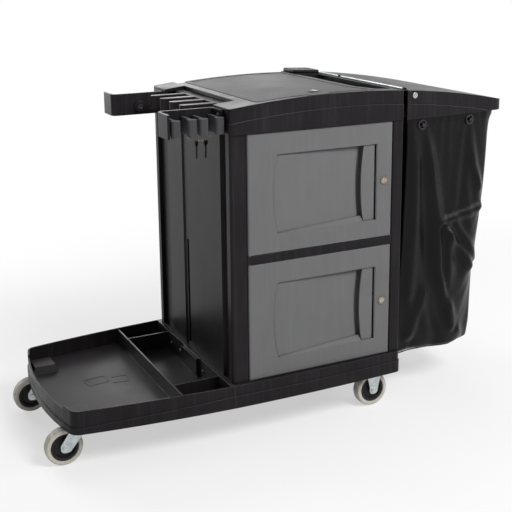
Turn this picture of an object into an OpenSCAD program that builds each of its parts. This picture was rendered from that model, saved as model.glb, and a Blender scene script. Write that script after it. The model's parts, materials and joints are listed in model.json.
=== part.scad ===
// Janitor cart: a two-door cabinet on a moulded deck, with a mop platform on four casters,
// a tool rack at one end and a hooded waste bag at the other. Millimetres, +Z up.
// The front, with the doors, faces -Y. The platform points to -X and the bag to +X.

/* [Cabinet] */
// Length of the cabinet between its end faces
cab_l = 530; // [480:5:600]
// Depth of the cabinet from the door faces to its back
cab_d = 545; // [500:5:600]
// Height of each door
door_h = 323; // [300:1:360]
// Thickness of each door
door_t = 34; // [34:0.5:40]
// Gap round each door
door_gap = 2; // [1.5:0.25:4]
// Wall of the door's moulded skin
door_skin = 3.5; // [2.5:0.25:4]
// Width of the post beside the door hinges
hinge_post_w = 46; // [40:1:56]
// Width of the post beside the door locks
lock_post_w = 36; // [34:1:50]
// Width of the rear posts on the back
rear_post_w = 40; // [30:1:56]
// Width of each post on the end face
post_side_w = 25; // [20:1:34]
// Wall of the corner posts
post_t = 14; // [10:1:16]
// Thickness of the end panels
end_t = 18; // [16:1:24]
// Depth of the deepest channel in the end panels
end_channel = 11; // [6:0.5:13]
// Width of the narrow channel beside the front post
front_channel_w = 41; // [30:1:56]
// Width of the broad panel on the tool end
broad_panel_w = 223; // [190:1:240]
// Width of the slotted channel on the tool end
mid_channel_w = 40; // [26:1:50]
// Depth of the middle channel of the tool end
mid_channel_t = 4; // [3:0.5:8]
// Width of the raised rail on the tool end
raised_rail_w = 109; // [80:1:120]
// Width of the ribs pressed in the back and in the bag end
rib_w = 60; // [40:1:70]
// Thickness of the back panel
back_t = 14; // [10:1:18]
// Height of the middle shelf's front bar
shelf_t = 23; // [20:1:30]
// Thickness of the middle shelf's plate
shelf_plate = 6; // [4:0.5:8]
// Radius of the rounded door edge round its hinge pin
hinge_r = 7; // [6:0.25:9]
// Diameter of the door hinge pins
hinge_pin_d = 8; // [6:0.5:9]
// Depth that a hinge pin reaches into a door
hinge_pin_in = 14; // [8:1:18]

/* [Door recess] */
// Distance from the door's hinge edge to the recess corners
pan_x0 = 87; // [70:1:110]
// Distance from the door's lock edge to the recess's straight side
pan_edge = 47; // [44:1:64]
// Distance from the door's lower edge to the recess
pan_z0 = 50; // [40:1:60]
// Height of the recess
pan_h = 214; // [190:1:220]
// Bulge of the recess's curved side
pan_bulge = 14; // [0:1:24]
// Radius of the recess corners
pan_r = 5; // [3:0.5:12]
// Depth of the flush step round the recess and its grip
pan_step = 3.5; // [2:0.1:5]
// Depth of the tilted recess floor at the grip
pan_end = 14; // [10:0.5:18]
// Depth of the finger pocket behind the grip
pan_depth = 25; // [18:0.5:26]
// Distance from the door's lock edge to the edge of the grip
grip_edge = 98; // [92:1:114]
// Bulge of the grip's curved edge
grip_bulge = 9; // [4:0.5:14]
// Reach of the finger pocket behind the grip
grip_reach = 30; // [22:1:34]
// Width of the gap between the recess floor and the grip
pocket_gap = 12; // [9:0.5:16]
// Thickness of the grip
grip_t = 5; // [4:0.25:6]

/* [Locks] */
// Distance from the door's lock edge to its lock
lock_edge = 26; // [20:1:30]
// Distance from the door's lower edge to its lock
lock_z = 160; // [120:1:200]
// Diameter of the lock barrel
lock_d = 18; // [16:0.5:20]
// Diameter of the turning lock plug
plug_d = 12; // [10:0.5:13]
// Length of a lock cam from the lock's axis
cam_l = 36; // [34:1:40]
// Width of a lock cam
cam_w = 12; // [10:0.5:14]
// Thickness of a lock cam
cam_t = 3; // [2:0.25:4]

/* [Deck] */
// Height of the deck's underside above the floor
deck_z = 103; // [102.5:0.5:110]
// Height of the deck's top above the floor
deck_top = 166; // [160:1:180]
// How far the deck and the platform stand out past the cabinet at their seam
seam_out = 11.5; // [8:0.5:20]
// How far the deck stands out past the cabinet at the bag end
deck_end_out = 6.5; // [5:0.5:16]
// Outward bow of the deck's long sides
deck_bow = 6; // [0:0.5:10]
// Radius of the deck's corners at the bag end
deck_r = 16; // [8:1:30]
// Wall of the deck and platform skirts
skirt_t = 4; // [3:0.25:6]
// Thickness of the deck plate
deck_plate = 8; // [6:0.5:12]
// Height of the raised band round the deck skirt
band_h = 34; // [20:1:44]
// Height of the band at the front of the platform
band_nose_h = 17; // [10:1:30]
// How far the band stands out
band_out = 2.5; // [1:0.25:4]

/* [Mop platform] */
// Distance from the seam to the platform's front corners
plat_corner_x = 432; // [425:1:470]
// How much the platform narrows on each side towards its front corners
plat_taper = 45; // [20:1:60]
// Forward bulge of the platform's front edge
nose_bow = 30; // [10:1:50]
// Outward bow of the platform's long sides
side_bow = 6; // [0:0.5:12]
// Radius of the platform's front corners
plat_r = 28; // [18:1:40]
// Height of the platform's floor
plat_floor = 120; // [117:0.5:124]
// Thickness of the platform's floor
floor_t = 6; // [4:0.5:8]
// How far the front lip is lower than the corners
lip_drop = 9; // [4:1:16]
// Length of each raised corner along the front
lip_corner = 52; // [36:1:70]
// Distance from the seam to the bins' outer wall
bin_x = 140; // [110:1:170]
// Width of the side bins with their walls
side_bin_w = 95; // [70:1:120]
// Height of the bins' floor
bin_floor = 110; // [108:0.5:114]
// Thickness of the bin walls
bin_t = 5; // [3:0.25:7]
// Depth of the wall against the cabinet
seam_wall = 10; // [6:0.5:16]
// Length of the thick pad on that wall
seam_pad_l = 114; // [80:1:150]
// Side of the caster pads at their base
pad_base = 76; // [72:1:84]
// Side of the caster pads at their top
pad_top = 58; // [48:1:66]
// Height of the caster pads' top
pad_z = 140; // [136:0.5:146]

/* [Casters] */
// Diameter of the wheels
wheel_d = 100; // [94:0.5:100]
// Width of the tread
tread_w = 30; // [24:0.5:32]
// Depth of the tread
tread_t = 13; // [8:0.5:16]
// Height from the floor to the caster's mounting face
caster_h = 128; // [126:0.5:130]
// Distance from the platform's front corners back to the swivel axes
swivel_back = 28; // [22:1:40]
// Distance from the platform's front corners inward to the swivel axes
swivel_in = 62; // [55:1:76]
// Distance from the swivel axis back to its wheel
trail = 40; // [34:1:42]
// Distance from the deck's end to the fixed wheels
fixed_end = 76; // [60:1:100]
// Distance from the deck's side inward to the fixed wheels
fixed_in = 41; // [39:1:60]
// Thickness of the fork sheet
fork_t = 3; // [2:0.25:3.5]
// Diameter of the axle bolts
axle_d = 8; // [6:0.5:10]
// Diameter of the swivel kingpin
kingpin_d = 12; // [10:0.5:14]
// Radius of the swivel head
head_r = 27; // [25:0.5:28]

/* [Top] */
// Height of the crown's highest line above the top's lower edge
crown_h = 88; // [82:1:97]
// Distance from the crown's highest line to the top's end
crown_end = 200; // [150:5:250]
// Radius of the long crown over the top and the hood
crown_r = 2630; // [2400:10:3200]
// Thickness of the crown at its openings
crown_t = 10; // [9:0.5:12]
// Height of the plain band above the ledge on the fascia
fascia_band = 38; // [30:1:46]
// Depth of that ledge
fascia_step = 1.6; // [0.8:0.1:2.5]
// How far the top stands out past the cabinet on each side
top_out = 4.5; // [2.5:0.5:9]
// Wall of the top shell
top_wall = 4; // [3:0.25:5]
// Thickness of the floor inside the top
top_floor_t = 6; // [4:0.5:8]
// How far the top overhangs the cabinet at the tool end
top_over = 2; // [1:0.5:4]
// Radius of the top's corners
top_r = 11; // [6:1:16]
// Distance from the seam to the step behind the tool rack
rack_step_x = 60; // [50:1:66]

/* [Lid and trays] */
// Distance from the seam to the lid
lid_x0 = 85; // [80:1:100]
// Distance from the lid's far side to the top's end
lid_end = 106; // [104:1:130]
// Distance from the top's side to the lid's front edge
lid_front_in = 23; // [19:1:37]
// Distance from the top's side to the lid's rear edge
lid_rear_in = 34; // [31:1:41]
// How far the lid flares at its front corner beside the open tray
lid_flare = 26; // [10:1:34]
// Distance from the lid's front edge to the start of the flare
flare_l = 86; // [60:1:110]
// Thickness of the lid
lid_t = 4; // [3:0.25:4.5]
// Ledge that the lid rests on
lid_ledge = 12; // [9:0.5:15]
// Distance from the middle of the lid's tab to the top's end
tab_end = 264; // [240:1:280]
// Width of the lid's tab
tab_w = 66; // [50:1:80]
// Distance along the cart from the middle of the tab to the lid's lock
lid_lock_off = 11; // [0:1:20]
// Distance from the lid's front edge to its lock
lid_lock_in = 39; // [36:1:46]
// Depth of the lid's hinge axis below the crown's highest line
lid_hinge_drop = 20; // [18:0.5:23]
// Diameter of the lid's hinge pins
lid_pin_d = 6; // [5:0.5:7]
// Wall of the trays
tray_t = 3; // [2:0.25:4]
// Height of the trays
tray_h = 54; // [40:1:58]
// Rim between the lid and the open tray
slot_gap = 12; // [8:1:16]
// Distance from the open tray to the top's end
slot_end = 16; // [14:1:30]
// Distance from the top's side to the open tray's front end
slot_front_in = 45; // [41:1:77]
// Distance from the top's side to the open tray's rear end
slot_rear_in = 97; // [57:1:127]

/* [Tool rack] */
// Reach of the tool arms from the cabinet's end
arm_reach = 160; // [140:1:180]
// Distance from the top's side inward to the arms' inner faces
arm_in = 98; // [91:1:99]
// Distance from the top's side inward to the ends of the arms' tips
arm_tip_in = 20; // [15:1:37]
// Height of the arms
arm_h = 62; // [54:1:66]
// Wall of the arms
arm_t = 6; // [5:0.25:8]
// Height of the accessory bores above the arms' lower edges
arm_bore_z = 24; // [20:1:34]
// Diameter of the accessory bores
arm_bore_d = 16; // [12:0.5:18]
// Distance from an arm's tip to its first jaw
clip_end = 10.5; // [9:0.5:14]
// Distance from an arm's root to its last jaw
clip_root = 4.5; // [3:0.5:8]
// Gap between the two clips of an arm
jaw_gap = 7; // [5:0.5:10]
// Gap between the jaws of a clip
clip_gap = 20; // [16:0.5:24]
// Height of a jaw
jaw_h = 43; // [36:1:50]
// Number of comb fingers
fingers = 4; // [2:1:6]
// Width of a comb finger
finger_w = 24; // [16:1:28]
// Reach of the fingers from the cabinet's end
finger_reach = 68; // [50:1:80]
// Depth of the comb
comb_h = 38; // [30:1:39]
// Depth of the comb's slots into the top
comb_in = 30; // [10:1:40]

/* [Hood and bag] */
// Length of the hood
hood_l = 366; // [320:1:420]
// How much the hood narrows on each side towards its far end
hood_taper = 25; // [15:1:33]
// Gap between the top and the hood
hood_gap = 7; // [6:0.5:10]
// Wall of the hood
hood_t = 3.5; // [2.5:0.25:4]
// Radius of the hood's corners at its far end
hood_r = 40; // [30:1:60]
// Bulge of the hood's far end
hood_bow = 8; // [0:1:16]
// Distance from the top's end to the hood's pivot
pivot_x = 30; // [28:0.5:34]
// Depth of the hood's pivot below the crown's highest line
pivot_drop = 23; // [21:0.5:27]
// Diameter of the hood's pivot screws
pivot_d = 8; // [6:0.5:10]
// Distance from the hood's outside to the bag frame
frame_in = 20; // [17:0.5:26]
// Width of the bag frame's rail
rail_w = 12; // [10:0.5:16]
// Height of the bag frame's rail
rail_h = 16; // [12:0.5:20]
// Thickness of the bag's fabric
bag_t = 2; // [1.5:0.25:3]
// Depth of the folds in the hanging bag
fold = 12; // [0:1:16]
// Height of the bag's bottom above the floor
bag_z = 122; // [110:1:160]
// Distance from the top's end to the first grommets
grommet_x = 72; // [60:1:90]
// Distance between the grommets
grommet_pitch = 173; // [140:1:190]
// Depth of the grommets below the top's lower edge
grommet_drop = 23; // [19:1:43]
// Outer diameter of a grommet
grommet_d = 30; // [26:1:36]
// Bore of a grommet
grommet_bore = 20; // [16:1:22]

/* [Hidden] */
$fn = 64;
// Facets of the long crown arc
crown_fn = 1440;
// Clearance of a turning fit and of a fixed fit, on the radius
run_fit = 0.06;
seat_fit = 0.02;
// Clearance between pieces that only lie beside each other
clear = 0.3;
black = [0.17, 0.16, 0.17];
grey = [0.44, 0.44, 0.45];
steel = [0.74, 0.77, 0.78];
brass = [0.75, 0.62, 0.36];

half_d = cab_d/2;
door_x0 = hinge_post_w + door_gap;
door_w = cab_l - hinge_post_w - lock_post_w - 2*door_gap;
lower_door_z = deck_top + door_gap;
shelf_z = lower_door_z + door_h + door_gap;
upper_door_z = shelf_z + shelf_t + door_gap;
top_z = upper_door_z + door_h + door_gap;
door_inner_y = -half_d + door_t;
hinge_x = door_x0 + hinge_r;
hinge_y = -half_d + hinge_r;
wheel_r = wheel_d/2;
pan_x1 = door_w - pan_edge;
grip_x = door_w - grip_edge;
lock_x = door_w - lock_edge;
seam_hw = half_d + seam_out;
deck_end_hw = half_d + deck_end_out;
plat_hw = seam_hw - plat_taper;
bin_y = seam_hw - side_bin_w;
swivel_x = plat_corner_x - swivel_back;
swivel_y = plat_hw - swivel_in;
fixed_x = cab_l - fixed_end;
fixed_y = deck_end_hw - fixed_in;
crown_z = top_z + crown_h;
crown_x = cab_l - crown_end;
top_hw = half_d + top_out;
lid_x1 = cab_l - lid_end;
lid_front = top_hw - lid_front_in;
lid_rear = top_hw - lid_rear_in;
tab_x = cab_l - tab_end;
lid_lock_x = tab_x + lid_lock_off;
lid_lock_y = lid_front - lid_lock_in;
lid_hinge_z = crown_z - lid_hinge_drop;
slot_x0 = lid_x1 + slot_gap;
slot_x1 = cab_l - slot_end;
slot_front = top_hw - slot_front_in;
slot_rear = top_hw - slot_rear_in;
arm_y = top_hw - arm_in;
arm_out = top_hw - arm_tip_in;
arm_z = top_z;
hood_x0 = cab_l + hood_gap;
hood_x1 = hood_x0 + hood_l;
hood_hw = top_hw;
hood_end_hw = hood_hw - hood_taper;
pivot_z = crown_z - pivot_drop;
grommet_z = top_z - grommet_drop;
// The seam stands off the origin so that the origin is midway between the two ends
seam_x = (swivel_x + trail + wheel_r - hood_x1 + fascia_step)/2;
top_floor_z = top_z + top_floor_t;
pivot_at = cab_l + pivot_x;
rail_z = top_z + 5;
rail_top = rail_z + rail_h;
bag_in = frame_in - bag_t - clear;
bag_x0 = hood_x0 + 11;
bag_top = rail_top - 4;
bag_h = bag_top - bag_z;
bag_mid = (bag_x0 + hood_x1)/2;
lid_hinge_y = lid_rear + 9;
notch_x0 = lid_x0 - 22;
notch_x1 = lid_x1 + 8;
notch_z = lid_hinge_z - 8;
notch_y = lid_rear - lid_ledge;
well_r = head_r + 4;
fork_y = tread_w/2 + 2.5;
arm_root = -top_over;
comb_top = arm_z + arm_h;
comb_hw = arm_y - 4;
jaw_y = arm_y + arm_t;
jaw_w = (arm_reach + arm_root - clip_end - clip_root - 2*clip_gap - jaw_gap)/4;
clip_pitch = 2*jaw_w + clip_gap + jaw_gap;
clip_mid = (arm_root - clip_root - arm_reach + clip_end)/2;
arm_bore_x = -clip_mid;
lid_pin_in = 55;
lid_pin_spots = [lid_x0 + lid_pin_in, lid_x1 - lid_pin_in];
knuckle_l = 16;

screw_d = 6;
rib_t = 5;
groove_in = 12;
groove_t = 8;
post_r = 8;
post_edge_r = 4;
rib_z = deck_z + 20;
seam_screw_in = 30;
seam_screw_z = (deck_z + deck_top)/2;
seam_screw_l = seam_wall + skirt_t;
arm_root_l = 60;
arm_screw_y = arm_y + arm_root_l*2/3;
flange_t = 4;
flange_y = hood_hw - frame_in - rail_w - 14;
tab_out = 18;
lid_r = 14;
lid_gap = 1.5;
end_groove_in = 11;
end_groove = 2;
flare_nose = 22;
flare_r = 8;
slot_r = 12;
pocket_inset = 4;
cover_edge = 20;
fork_hw = 17;
flare_root_r = 20;
border = 17;
border_t = 1.2;
side_a = atan((hood_hw - hood_end_hw)/(hood_x1 - hood_x0));
hook_spots = [cab_l + grommet_x, cab_l + grommet_x + grommet_pitch];
lid_lock_t = 14;
lid_proud = 0.8;
lid_lock_top = max(crown_at(lid_lock_x - lock_d), crown_at(lid_lock_x + lock_d)) + lid_proud;
liner_t = 3;
hinge_boss = hinge_pin_in + 4;
lock_boss = door_t - liner_t - clear;
pillar_w = 18;
pillar_back = 2.5;
comb_wall = 3.5;
stem_l = 58;
boss_out = 8;
ear_d = 12;
bead_d = 9;
hood_band = 11;
bead_hw = side_y(hood_x0, 12);
fixed_plate_l = 78;
fixed_plate_w = 62;
plate_t = 3;
bridge_z = wheel_d + 4;
disc_z = bridge_z + 4;
cup_z = caster_h - 11;

// Points from p up to, but without, q on a shallow curve that bulges to the right of travel
function bow(p, q, sag, n) =
  let (d = q - p, m = [d[1], -d[0]]/norm(d))
  [for (i = [0:n - 1]) p + d*i/n + m*sag*4*i/n*(1 - i/n)];

// Arc of radius r that rounds the corner b between a and c
function corner(a, b, c, r, n = 8) =
  let (u = (a - b)/norm(a - b), v = (c - b)/norm(c - b), h = acos(u*v)/2)
  let (o = b + (u + v)/norm(u + v)*r/sin(h), s = b + u*r/tan(h) - o, e = b + v*r/tan(h) - o)
  let (from = atan2(s[1], s[0]), turn = atan2(s[0]*e[1] - s[1]*e[0], s*e))
  [for (i = [0:n]) o + r*[cos(from + turn*i/n), sin(from + turn*i/n)]];

// Outline p with each corner rounded to its radius in r, where 0 keeps it sharp
function rounded(p, r) =
  let (n = len(p))
  [for (i = [0:n - 1]) each r[i] <= 0 ? [p[i]] : corner(p[(i + n - 1)%n], p[i], p[(i + 1)%n], r[i])];

// A row of n zeros
function zeros(n) = n < 1 ? [] : [for (i = [1:n]) 0];

// Four-sided outline with corners rounded to r
function box_pts(x0, y0, x1, y1, r) =
  rounded([[x0, y0], [x1, y0], [x1, y1], [x0, y1]], [r, r, r, r]);

// Deck outline, drawn in by d, but never past the seam
function deck_pts(d) =
  let (x0 = max(d, 0), a = [cab_l - d, deck_end_hw - d], b = [x0, seam_hw - d])
  let (c = [b[0], -b[1]], e = [a[0], -a[1]], r = max(deck_r - d, 1))
  rounded(concat(bow(a, b, deck_bow, 8), [b], bow(c, e, deck_bow, 8), [e]),
    concat([r], zeros(16), [r]));

// Platform outline, drawn in by d, but never past the seam
function plat_pts(d) =
  let (a = [-max(d, 0), seam_hw - d], b = [d - plat_corner_x, plat_hw - d])
  let (c = [b[0], -b[1]], e = [a[0], -a[1]], r = max(plat_r - d, 1))
  rounded(concat(bow(a, b, side_bow, 5), bow(b, c, nose_bow, 9), bow(c, e, side_bow, 5), [e]),
    concat(zeros(5), [r], zeros(8), [r], zeros(5)));

// Outline of the top, drawn in by d
function top_pts(d) =
  let (x0 = d - top_over, x1 = cab_l - d, y = top_hw - d, r = max(top_r - d, 1))
  box_pts(x0, -y, x1, y, r);

// Outline of the hood from x0 to its far end, drawn in by d
function hood_pts(d, x0, n = 5) =
  let (slope = (hood_hw - hood_end_hw)/(hood_x1 - hood_x0), x1 = hood_x1 - hood_bow - d)
  let (y0 = hood_hw - d - slope*(x0 - hood_x0), y1 = hood_hw - d - slope*(x1 - hood_x0))
  let (r = hood_r - d*0.6)
  rounded(concat(bow([x1, y1], [x0, y0], 0, n), bow([x0, y0], [x0, -y0], 0, n - 1),
    bow([x0, -y0], [x1, -y1], 0, n), bow([x1, -y1], [x1, y1], hood_bow, n + 1)),
    concat([r], zeros(3*n - 2), [r], zeros(n)));

// Outline of the lid, drawn in by d, with its hinge side to the rear
function lid_pts(d) =
  let (y0 = d - lid_front, x1 = lid_x1 - d, xf = x1 + lid_flare, r = max(lid_r - d, 2))
  rounded([[lid_x0 + d, y0], [xf, y0], [xf, y0 + flare_nose - d], [x1, flare_l - lid_front],
    [x1, lid_rear - d], [lid_x0 + d, lid_rear - d]], [r, r, flare_r, flare_root_r, r, r]);

// Outline of a door's recess, drawn in by d
function pan_pts(d) =
  let (a = [pan_x0 + d, pan_z0 + pan_h - d], b = [pan_x0 + d, pan_z0 + d])
  let (c = [pan_x1 - d, pan_z0 + d], e = [pan_x1 - d, pan_z0 + pan_h - d], r = max(pan_r - d, 2))
  rounded(concat(bow(a, b, pan_bulge, 6), [b, c, e]), concat([r], zeros(5), [r, r, r]));

// Height of the crown over the place x
function crown_at(x) = crown_z - crown_r + sqrt(pow(crown_r, 2) - pow(x - crown_x, 2));

// Places everything from the seam
module cart() translate([seam_x, 0, 0]) children();

// The part as drawn on the front side and its mirror image on the rear side
module both_sides() {
  children();
  mirror([0, 1, 0]) children();
}

// Slab of an outline between two heights
module slab(pts, z0, z1) translate([0, 0, z0]) linear_extrude(z1 - z0) polygon(pts);

// Ring between two outlines
module ring(outer, inner, z0, z1) translate([0, 0, z0]) linear_extrude(z1 - z0) difference() {
  polygon(outer);
  polygon(inner);
}

// Everything below the crown, lowered by drop
module under_crown(drop) translate([crown_x, 0, crown_z - crown_r]) rotate([90, 0, 0])
  cylinder(r = crown_r - drop, h = 2*cab_d, center = true, $fn = crown_fn);

// Round bar along Z between two heights
module bar_z(x, y, z0, z1, d) translate([x, y, z0]) cylinder(d = d, h = z1 - z0);

// Round bar along -Y that starts at the given point
module bar_y(x, y, z, l, d) translate([x, y, z]) rotate([90, 0, 0]) cylinder(d = d, h = l);

// Round bar along +X that starts at the given point
module bar_x(x, y, z, l, d) translate([x, y, z]) rotate([0, 90, 0]) cylinder(d = d, h = l);

// Drafted profile of a panel, where each band is [from, to, depth] along its width
function relief(bands, back, draft = 1.5) =
  concat([for (b = bands) each [[b[2], b[0] + draft], [b[2], b[1] - draft]]],
    [[back, bands[len(bands) - 1][1]], [back, bands[0][0]]]);

// Ribs of width rib_w spread evenly over a span, as bands of a relief
function ribbed(from, to, depth, n) =
  let (gap = (to - from - n*rib_w)/(n + 1))
  [for (i = [0:2*n]) let (k = floor(i/2), a = from + k*(gap + rib_w))
    i%2 == 0 ? [a, a + gap, depth] : [a + gap, a + gap + rib_w, 0]];

// Screw with a domed head on the plane z = 0 and its shank down -Z
module screw(d, l) difference() {
  union() {
    translate([0, 0, -l]) cylinder(d = d, h = l);
    intersection() {
      translate([0, 0, -d*0.55]) sphere(d = d*2.3);
      cylinder(d = d*2, h = d);
    }
  }
  for (a = [0, 90]) rotate([0, 0, a]) translate([-d*0.6, -d*0.1, d*0.25]) cube([d*1.2, d*0.2, d]);
}

// Hole for the shank of such a screw, l deep
module screw_hole(l) translate([0, 0, -l]) cylinder(d = screw_d + 2*seat_fit, h = l + 1);

// Places of the screws, each with its head outward along local +Z
module seam_screw_spots() for (s = [-1, 1], y = [seam_pad_l/2 + seam_screw_in, bin_y - seam_screw_in])
  translate([-seam_wall, s*y, seam_screw_z]) rotate([0, -90, 0]) children();
module arm_screw_spots() for (s = [-1, 1], z = [0.25, 0.75])
  translate([arm_root - arm_t, s*arm_screw_y, arm_z + arm_h*z]) rotate([0, -90, 0]) children();
module flange_screw_spots() for (s = [-1, 1])
  translate([cab_l + flange_t, s*flange_y, rail_z + rail_h/2]) rotate([0, 90, 0]) children();
module back_screw_spots() for (x = [rear_post_w/2, cab_l - rear_post_w/2], z = [0.1, 0.5, 0.9])
  translate([x, half_d, deck_top + (top_z - deck_top)*z]) rotate([-90, 0, 0]) children();

module base_deck() color(black) cart() difference() {
  union() {
    ring(deck_pts(0), deck_pts(skirt_t), deck_z, deck_top);
    ring(deck_pts(-band_out), deck_pts(skirt_t), deck_z, deck_z + band_h);
    slab(deck_pts(0), deck_top - deck_plate, deck_top);
    intersection() {
      slab(deck_pts(1), deck_z, deck_top);
      deck_ribs();
    }
  }
  bar_z(hinge_x, hinge_y, deck_z, deck_top + 1, hinge_pin_d + 2*seat_fit);
  seam_screw_spots() screw_hole(2*seam_screw_l);
}

// Stiffening ribs below the deck plate and the blocks that carry the fixed casters
module deck_ribs() {
  rib_top = deck_top - deck_plate/2;
  for (x = [1:3])
    translate([cab_l*x/4 - rib_t/2, -seam_hw, rib_z]) cube([rib_t, 2*seam_hw, rib_top - rib_z]);
  for (y = [-1:1])
    translate([0, y*half_d/2 - rib_t/2, rib_z]) cube([cab_l, rib_t, rib_top - rib_z]);
  both_sides() translate([fixed_x - fixed_plate_l/2 - 4, -fixed_y - fixed_plate_w/2 - 4, caster_h])
    cube([fixed_plate_l + 8, fixed_plate_w + 8, rib_top - caster_h]);
}

module mop_platform() color(black) cart() difference() {
  union() {
    difference() {
      ring(plat_pts(0), plat_pts(skirt_t), deck_z, deck_top);
      translate([-2*plat_corner_x, lip_corner - plat_hw, deck_top - lip_drop])
        cube([1.2*plat_corner_x, 2*(plat_hw - lip_corner), deck_top]);
    }
    sloping_band();
    intersection() {
      slab(plat_pts(1), deck_z, deck_top);
      union() {
        platform_floors();
        bin_walls();
        both_sides() translate([-swivel_x, -swivel_y, 0]) caster_pad();
      }
    }
  }
  both_sides() bar_z(-swivel_x, -swivel_y, deck_z - 1, caster_h, 2*well_r);
  seam_screw_spots() screw_hole(2*seam_screw_l);
}

// Band round the platform skirt, with a top edge that falls towards the front
module sloping_band() intersection() {
  ring(plat_pts(-band_out), plat_pts(skirt_t), deck_z, deck_top);
  translate([0, 0, deck_z + band_h]) rotate([0, -atan((band_h - band_nose_h)/plat_corner_x), 0])
    translate([-2*plat_corner_x, -2*seam_hw, -deck_top]) cube([3*plat_corner_x, 4*seam_hw, deck_top]);
}

module platform_floors() {
  translate([-2*plat_corner_x, -seam_hw, plat_floor - floor_t])
    cube([2*plat_corner_x - bin_x, 2*seam_hw, floor_t]);
  translate([-bin_x - bin_t, -seam_hw, bin_floor - floor_t]) cube([bin_x + bin_t, 2*seam_hw, floor_t]);
}

module bin_walls() {
  translate([-bin_x - bin_t, -seam_hw, bin_floor - floor_t])
    cube([bin_t, 2*seam_hw, deck_top - bin_floor + floor_t - 3]);
  both_sides() translate([-bin_x, -bin_y - bin_t/2, bin_floor - floor_t])
    cube([bin_x, bin_t, deck_top - bin_floor + floor_t - 6]);
  translate([-seam_wall, -seam_hw, bin_floor - floor_t])
    cube([seam_wall, 2*seam_hw, deck_top - bin_floor + floor_t]);
  translate([-seam_wall - 8, -seam_pad_l/2, bin_floor - floor_t])
    cube([8 + seam_wall, seam_pad_l, deck_top - bin_floor + floor_t - 4]);
}

// Tapered block over a swivel caster
module caster_pad() intersection() {
  rotate([90, 0, 0]) linear_extrude(pad_base, center = true) polygon(pad_profile());
  rotate([90, 0, 90]) linear_extrude(pad_base, center = true) polygon(pad_profile());
}

function pad_profile() =
  let (b = pad_base/2, t = pad_top/2, z = plat_floor - floor_t)
  [[-b, z], [b, z], [b, plat_floor], [t, pad_z], [-t, pad_z], [-b, plat_floor]];

module left_end_panel() color(black) cart() difference() {
  slab(relief(left_bands(), end_t), deck_top, top_z);
  translate([mid_channel_t - 1, left_bands()[2][0] + mid_channel_w/3, deck_top + groove_in])
    cube([groove_t + 1, mid_channel_w/3, shelf_z - deck_top - groove_in]);
}

// Bands of the tool end from the front post to the rear post
function left_bands() =
  let (a = post_side_w - half_d, b = a + front_channel_w, c = b + broad_panel_w, d = c + mid_channel_w)
  [[a, b, end_channel], [b, c, 2], [c, d, mid_channel_t], [d, d + raised_rail_w, 0],
    [d + raised_rail_w, half_d - post_side_w, end_channel]];

module right_end_panel() color(black) cart() translate([cab_l, 0, 0]) mirror([1, 0, 0])
  slab(relief(ribbed(post_side_w - half_d, half_d - post_side_w, 4, 3), end_t), deck_top, top_z);

module back_panel() color(black) cart() translate([0, half_d, 0]) rotate([0, 0, -90])
  slab(relief(ribbed(rear_post_w, cab_l - rear_post_w, 4, 4), back_t), deck_top, top_z);

// Corner post of width w along the front, with its outer corner at the seam
module corner_post(w) slab(rounded([[0, -half_d], [w, -half_d], [w, post_t - half_d],
  [end_t, post_t - half_d], [end_t, post_side_w - half_d], [0, post_side_w - half_d]],
  [post_r, post_edge_r, 0, 0, 0, 0]), deck_top, top_z);

module front_left_post() color(black) cart() corner_post(hinge_post_w);

module front_right_post() color(black) cart() translate([cab_l, 0, 0]) mirror([1, 0, 0])
  corner_post(lock_post_w);

module rear_left_post() color(black) cart() difference() {
  mirror([0, 1, 0]) corner_post(rear_post_w);
  back_screw_spots() screw_hole(post_t);
}

module rear_right_post() color(black) cart() difference() {
  translate([cab_l, 0, 0]) mirror([1, 0, 0]) mirror([0, 1, 0]) corner_post(rear_post_w);
  back_screw_spots() screw_hole(post_t);
}

module middle_shelf() color(black) cart() difference() {
  union() {
    translate([hinge_post_w, -half_d, shelf_z])
      cube([cab_l - hinge_post_w - lock_post_w, door_t, shelf_t]);
    translate([end_t, door_inner_y - 1, shelf_z + shelf_t - shelf_plate])
      cube([cab_l - 2*end_t, cab_d - door_t - back_t + 1, shelf_plate]);
    for (y = [-0.5, 0, 0.5]) translate([end_t, y*half_d - rib_t/2, shelf_z])
      cube([cab_l - 2*end_t, rib_t, shelf_t - 1]);
  }
  bar_z(hinge_x, hinge_y, shelf_z - 1, shelf_z + shelf_t + 1, hinge_pin_d + 2*seat_fit);
}

module top_floor() color(black) cart() difference() {
  slab(top_pts(top_wall + fascia_step + clear), top_z, top_floor_z);
  bar_z(hinge_x, hinge_y, top_z - 1, top_floor_z + 1, hinge_pin_d + 2*seat_fit);
}

module top_shell() color(black) cart() {
  lid_ears();
  top_body();
}

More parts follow.
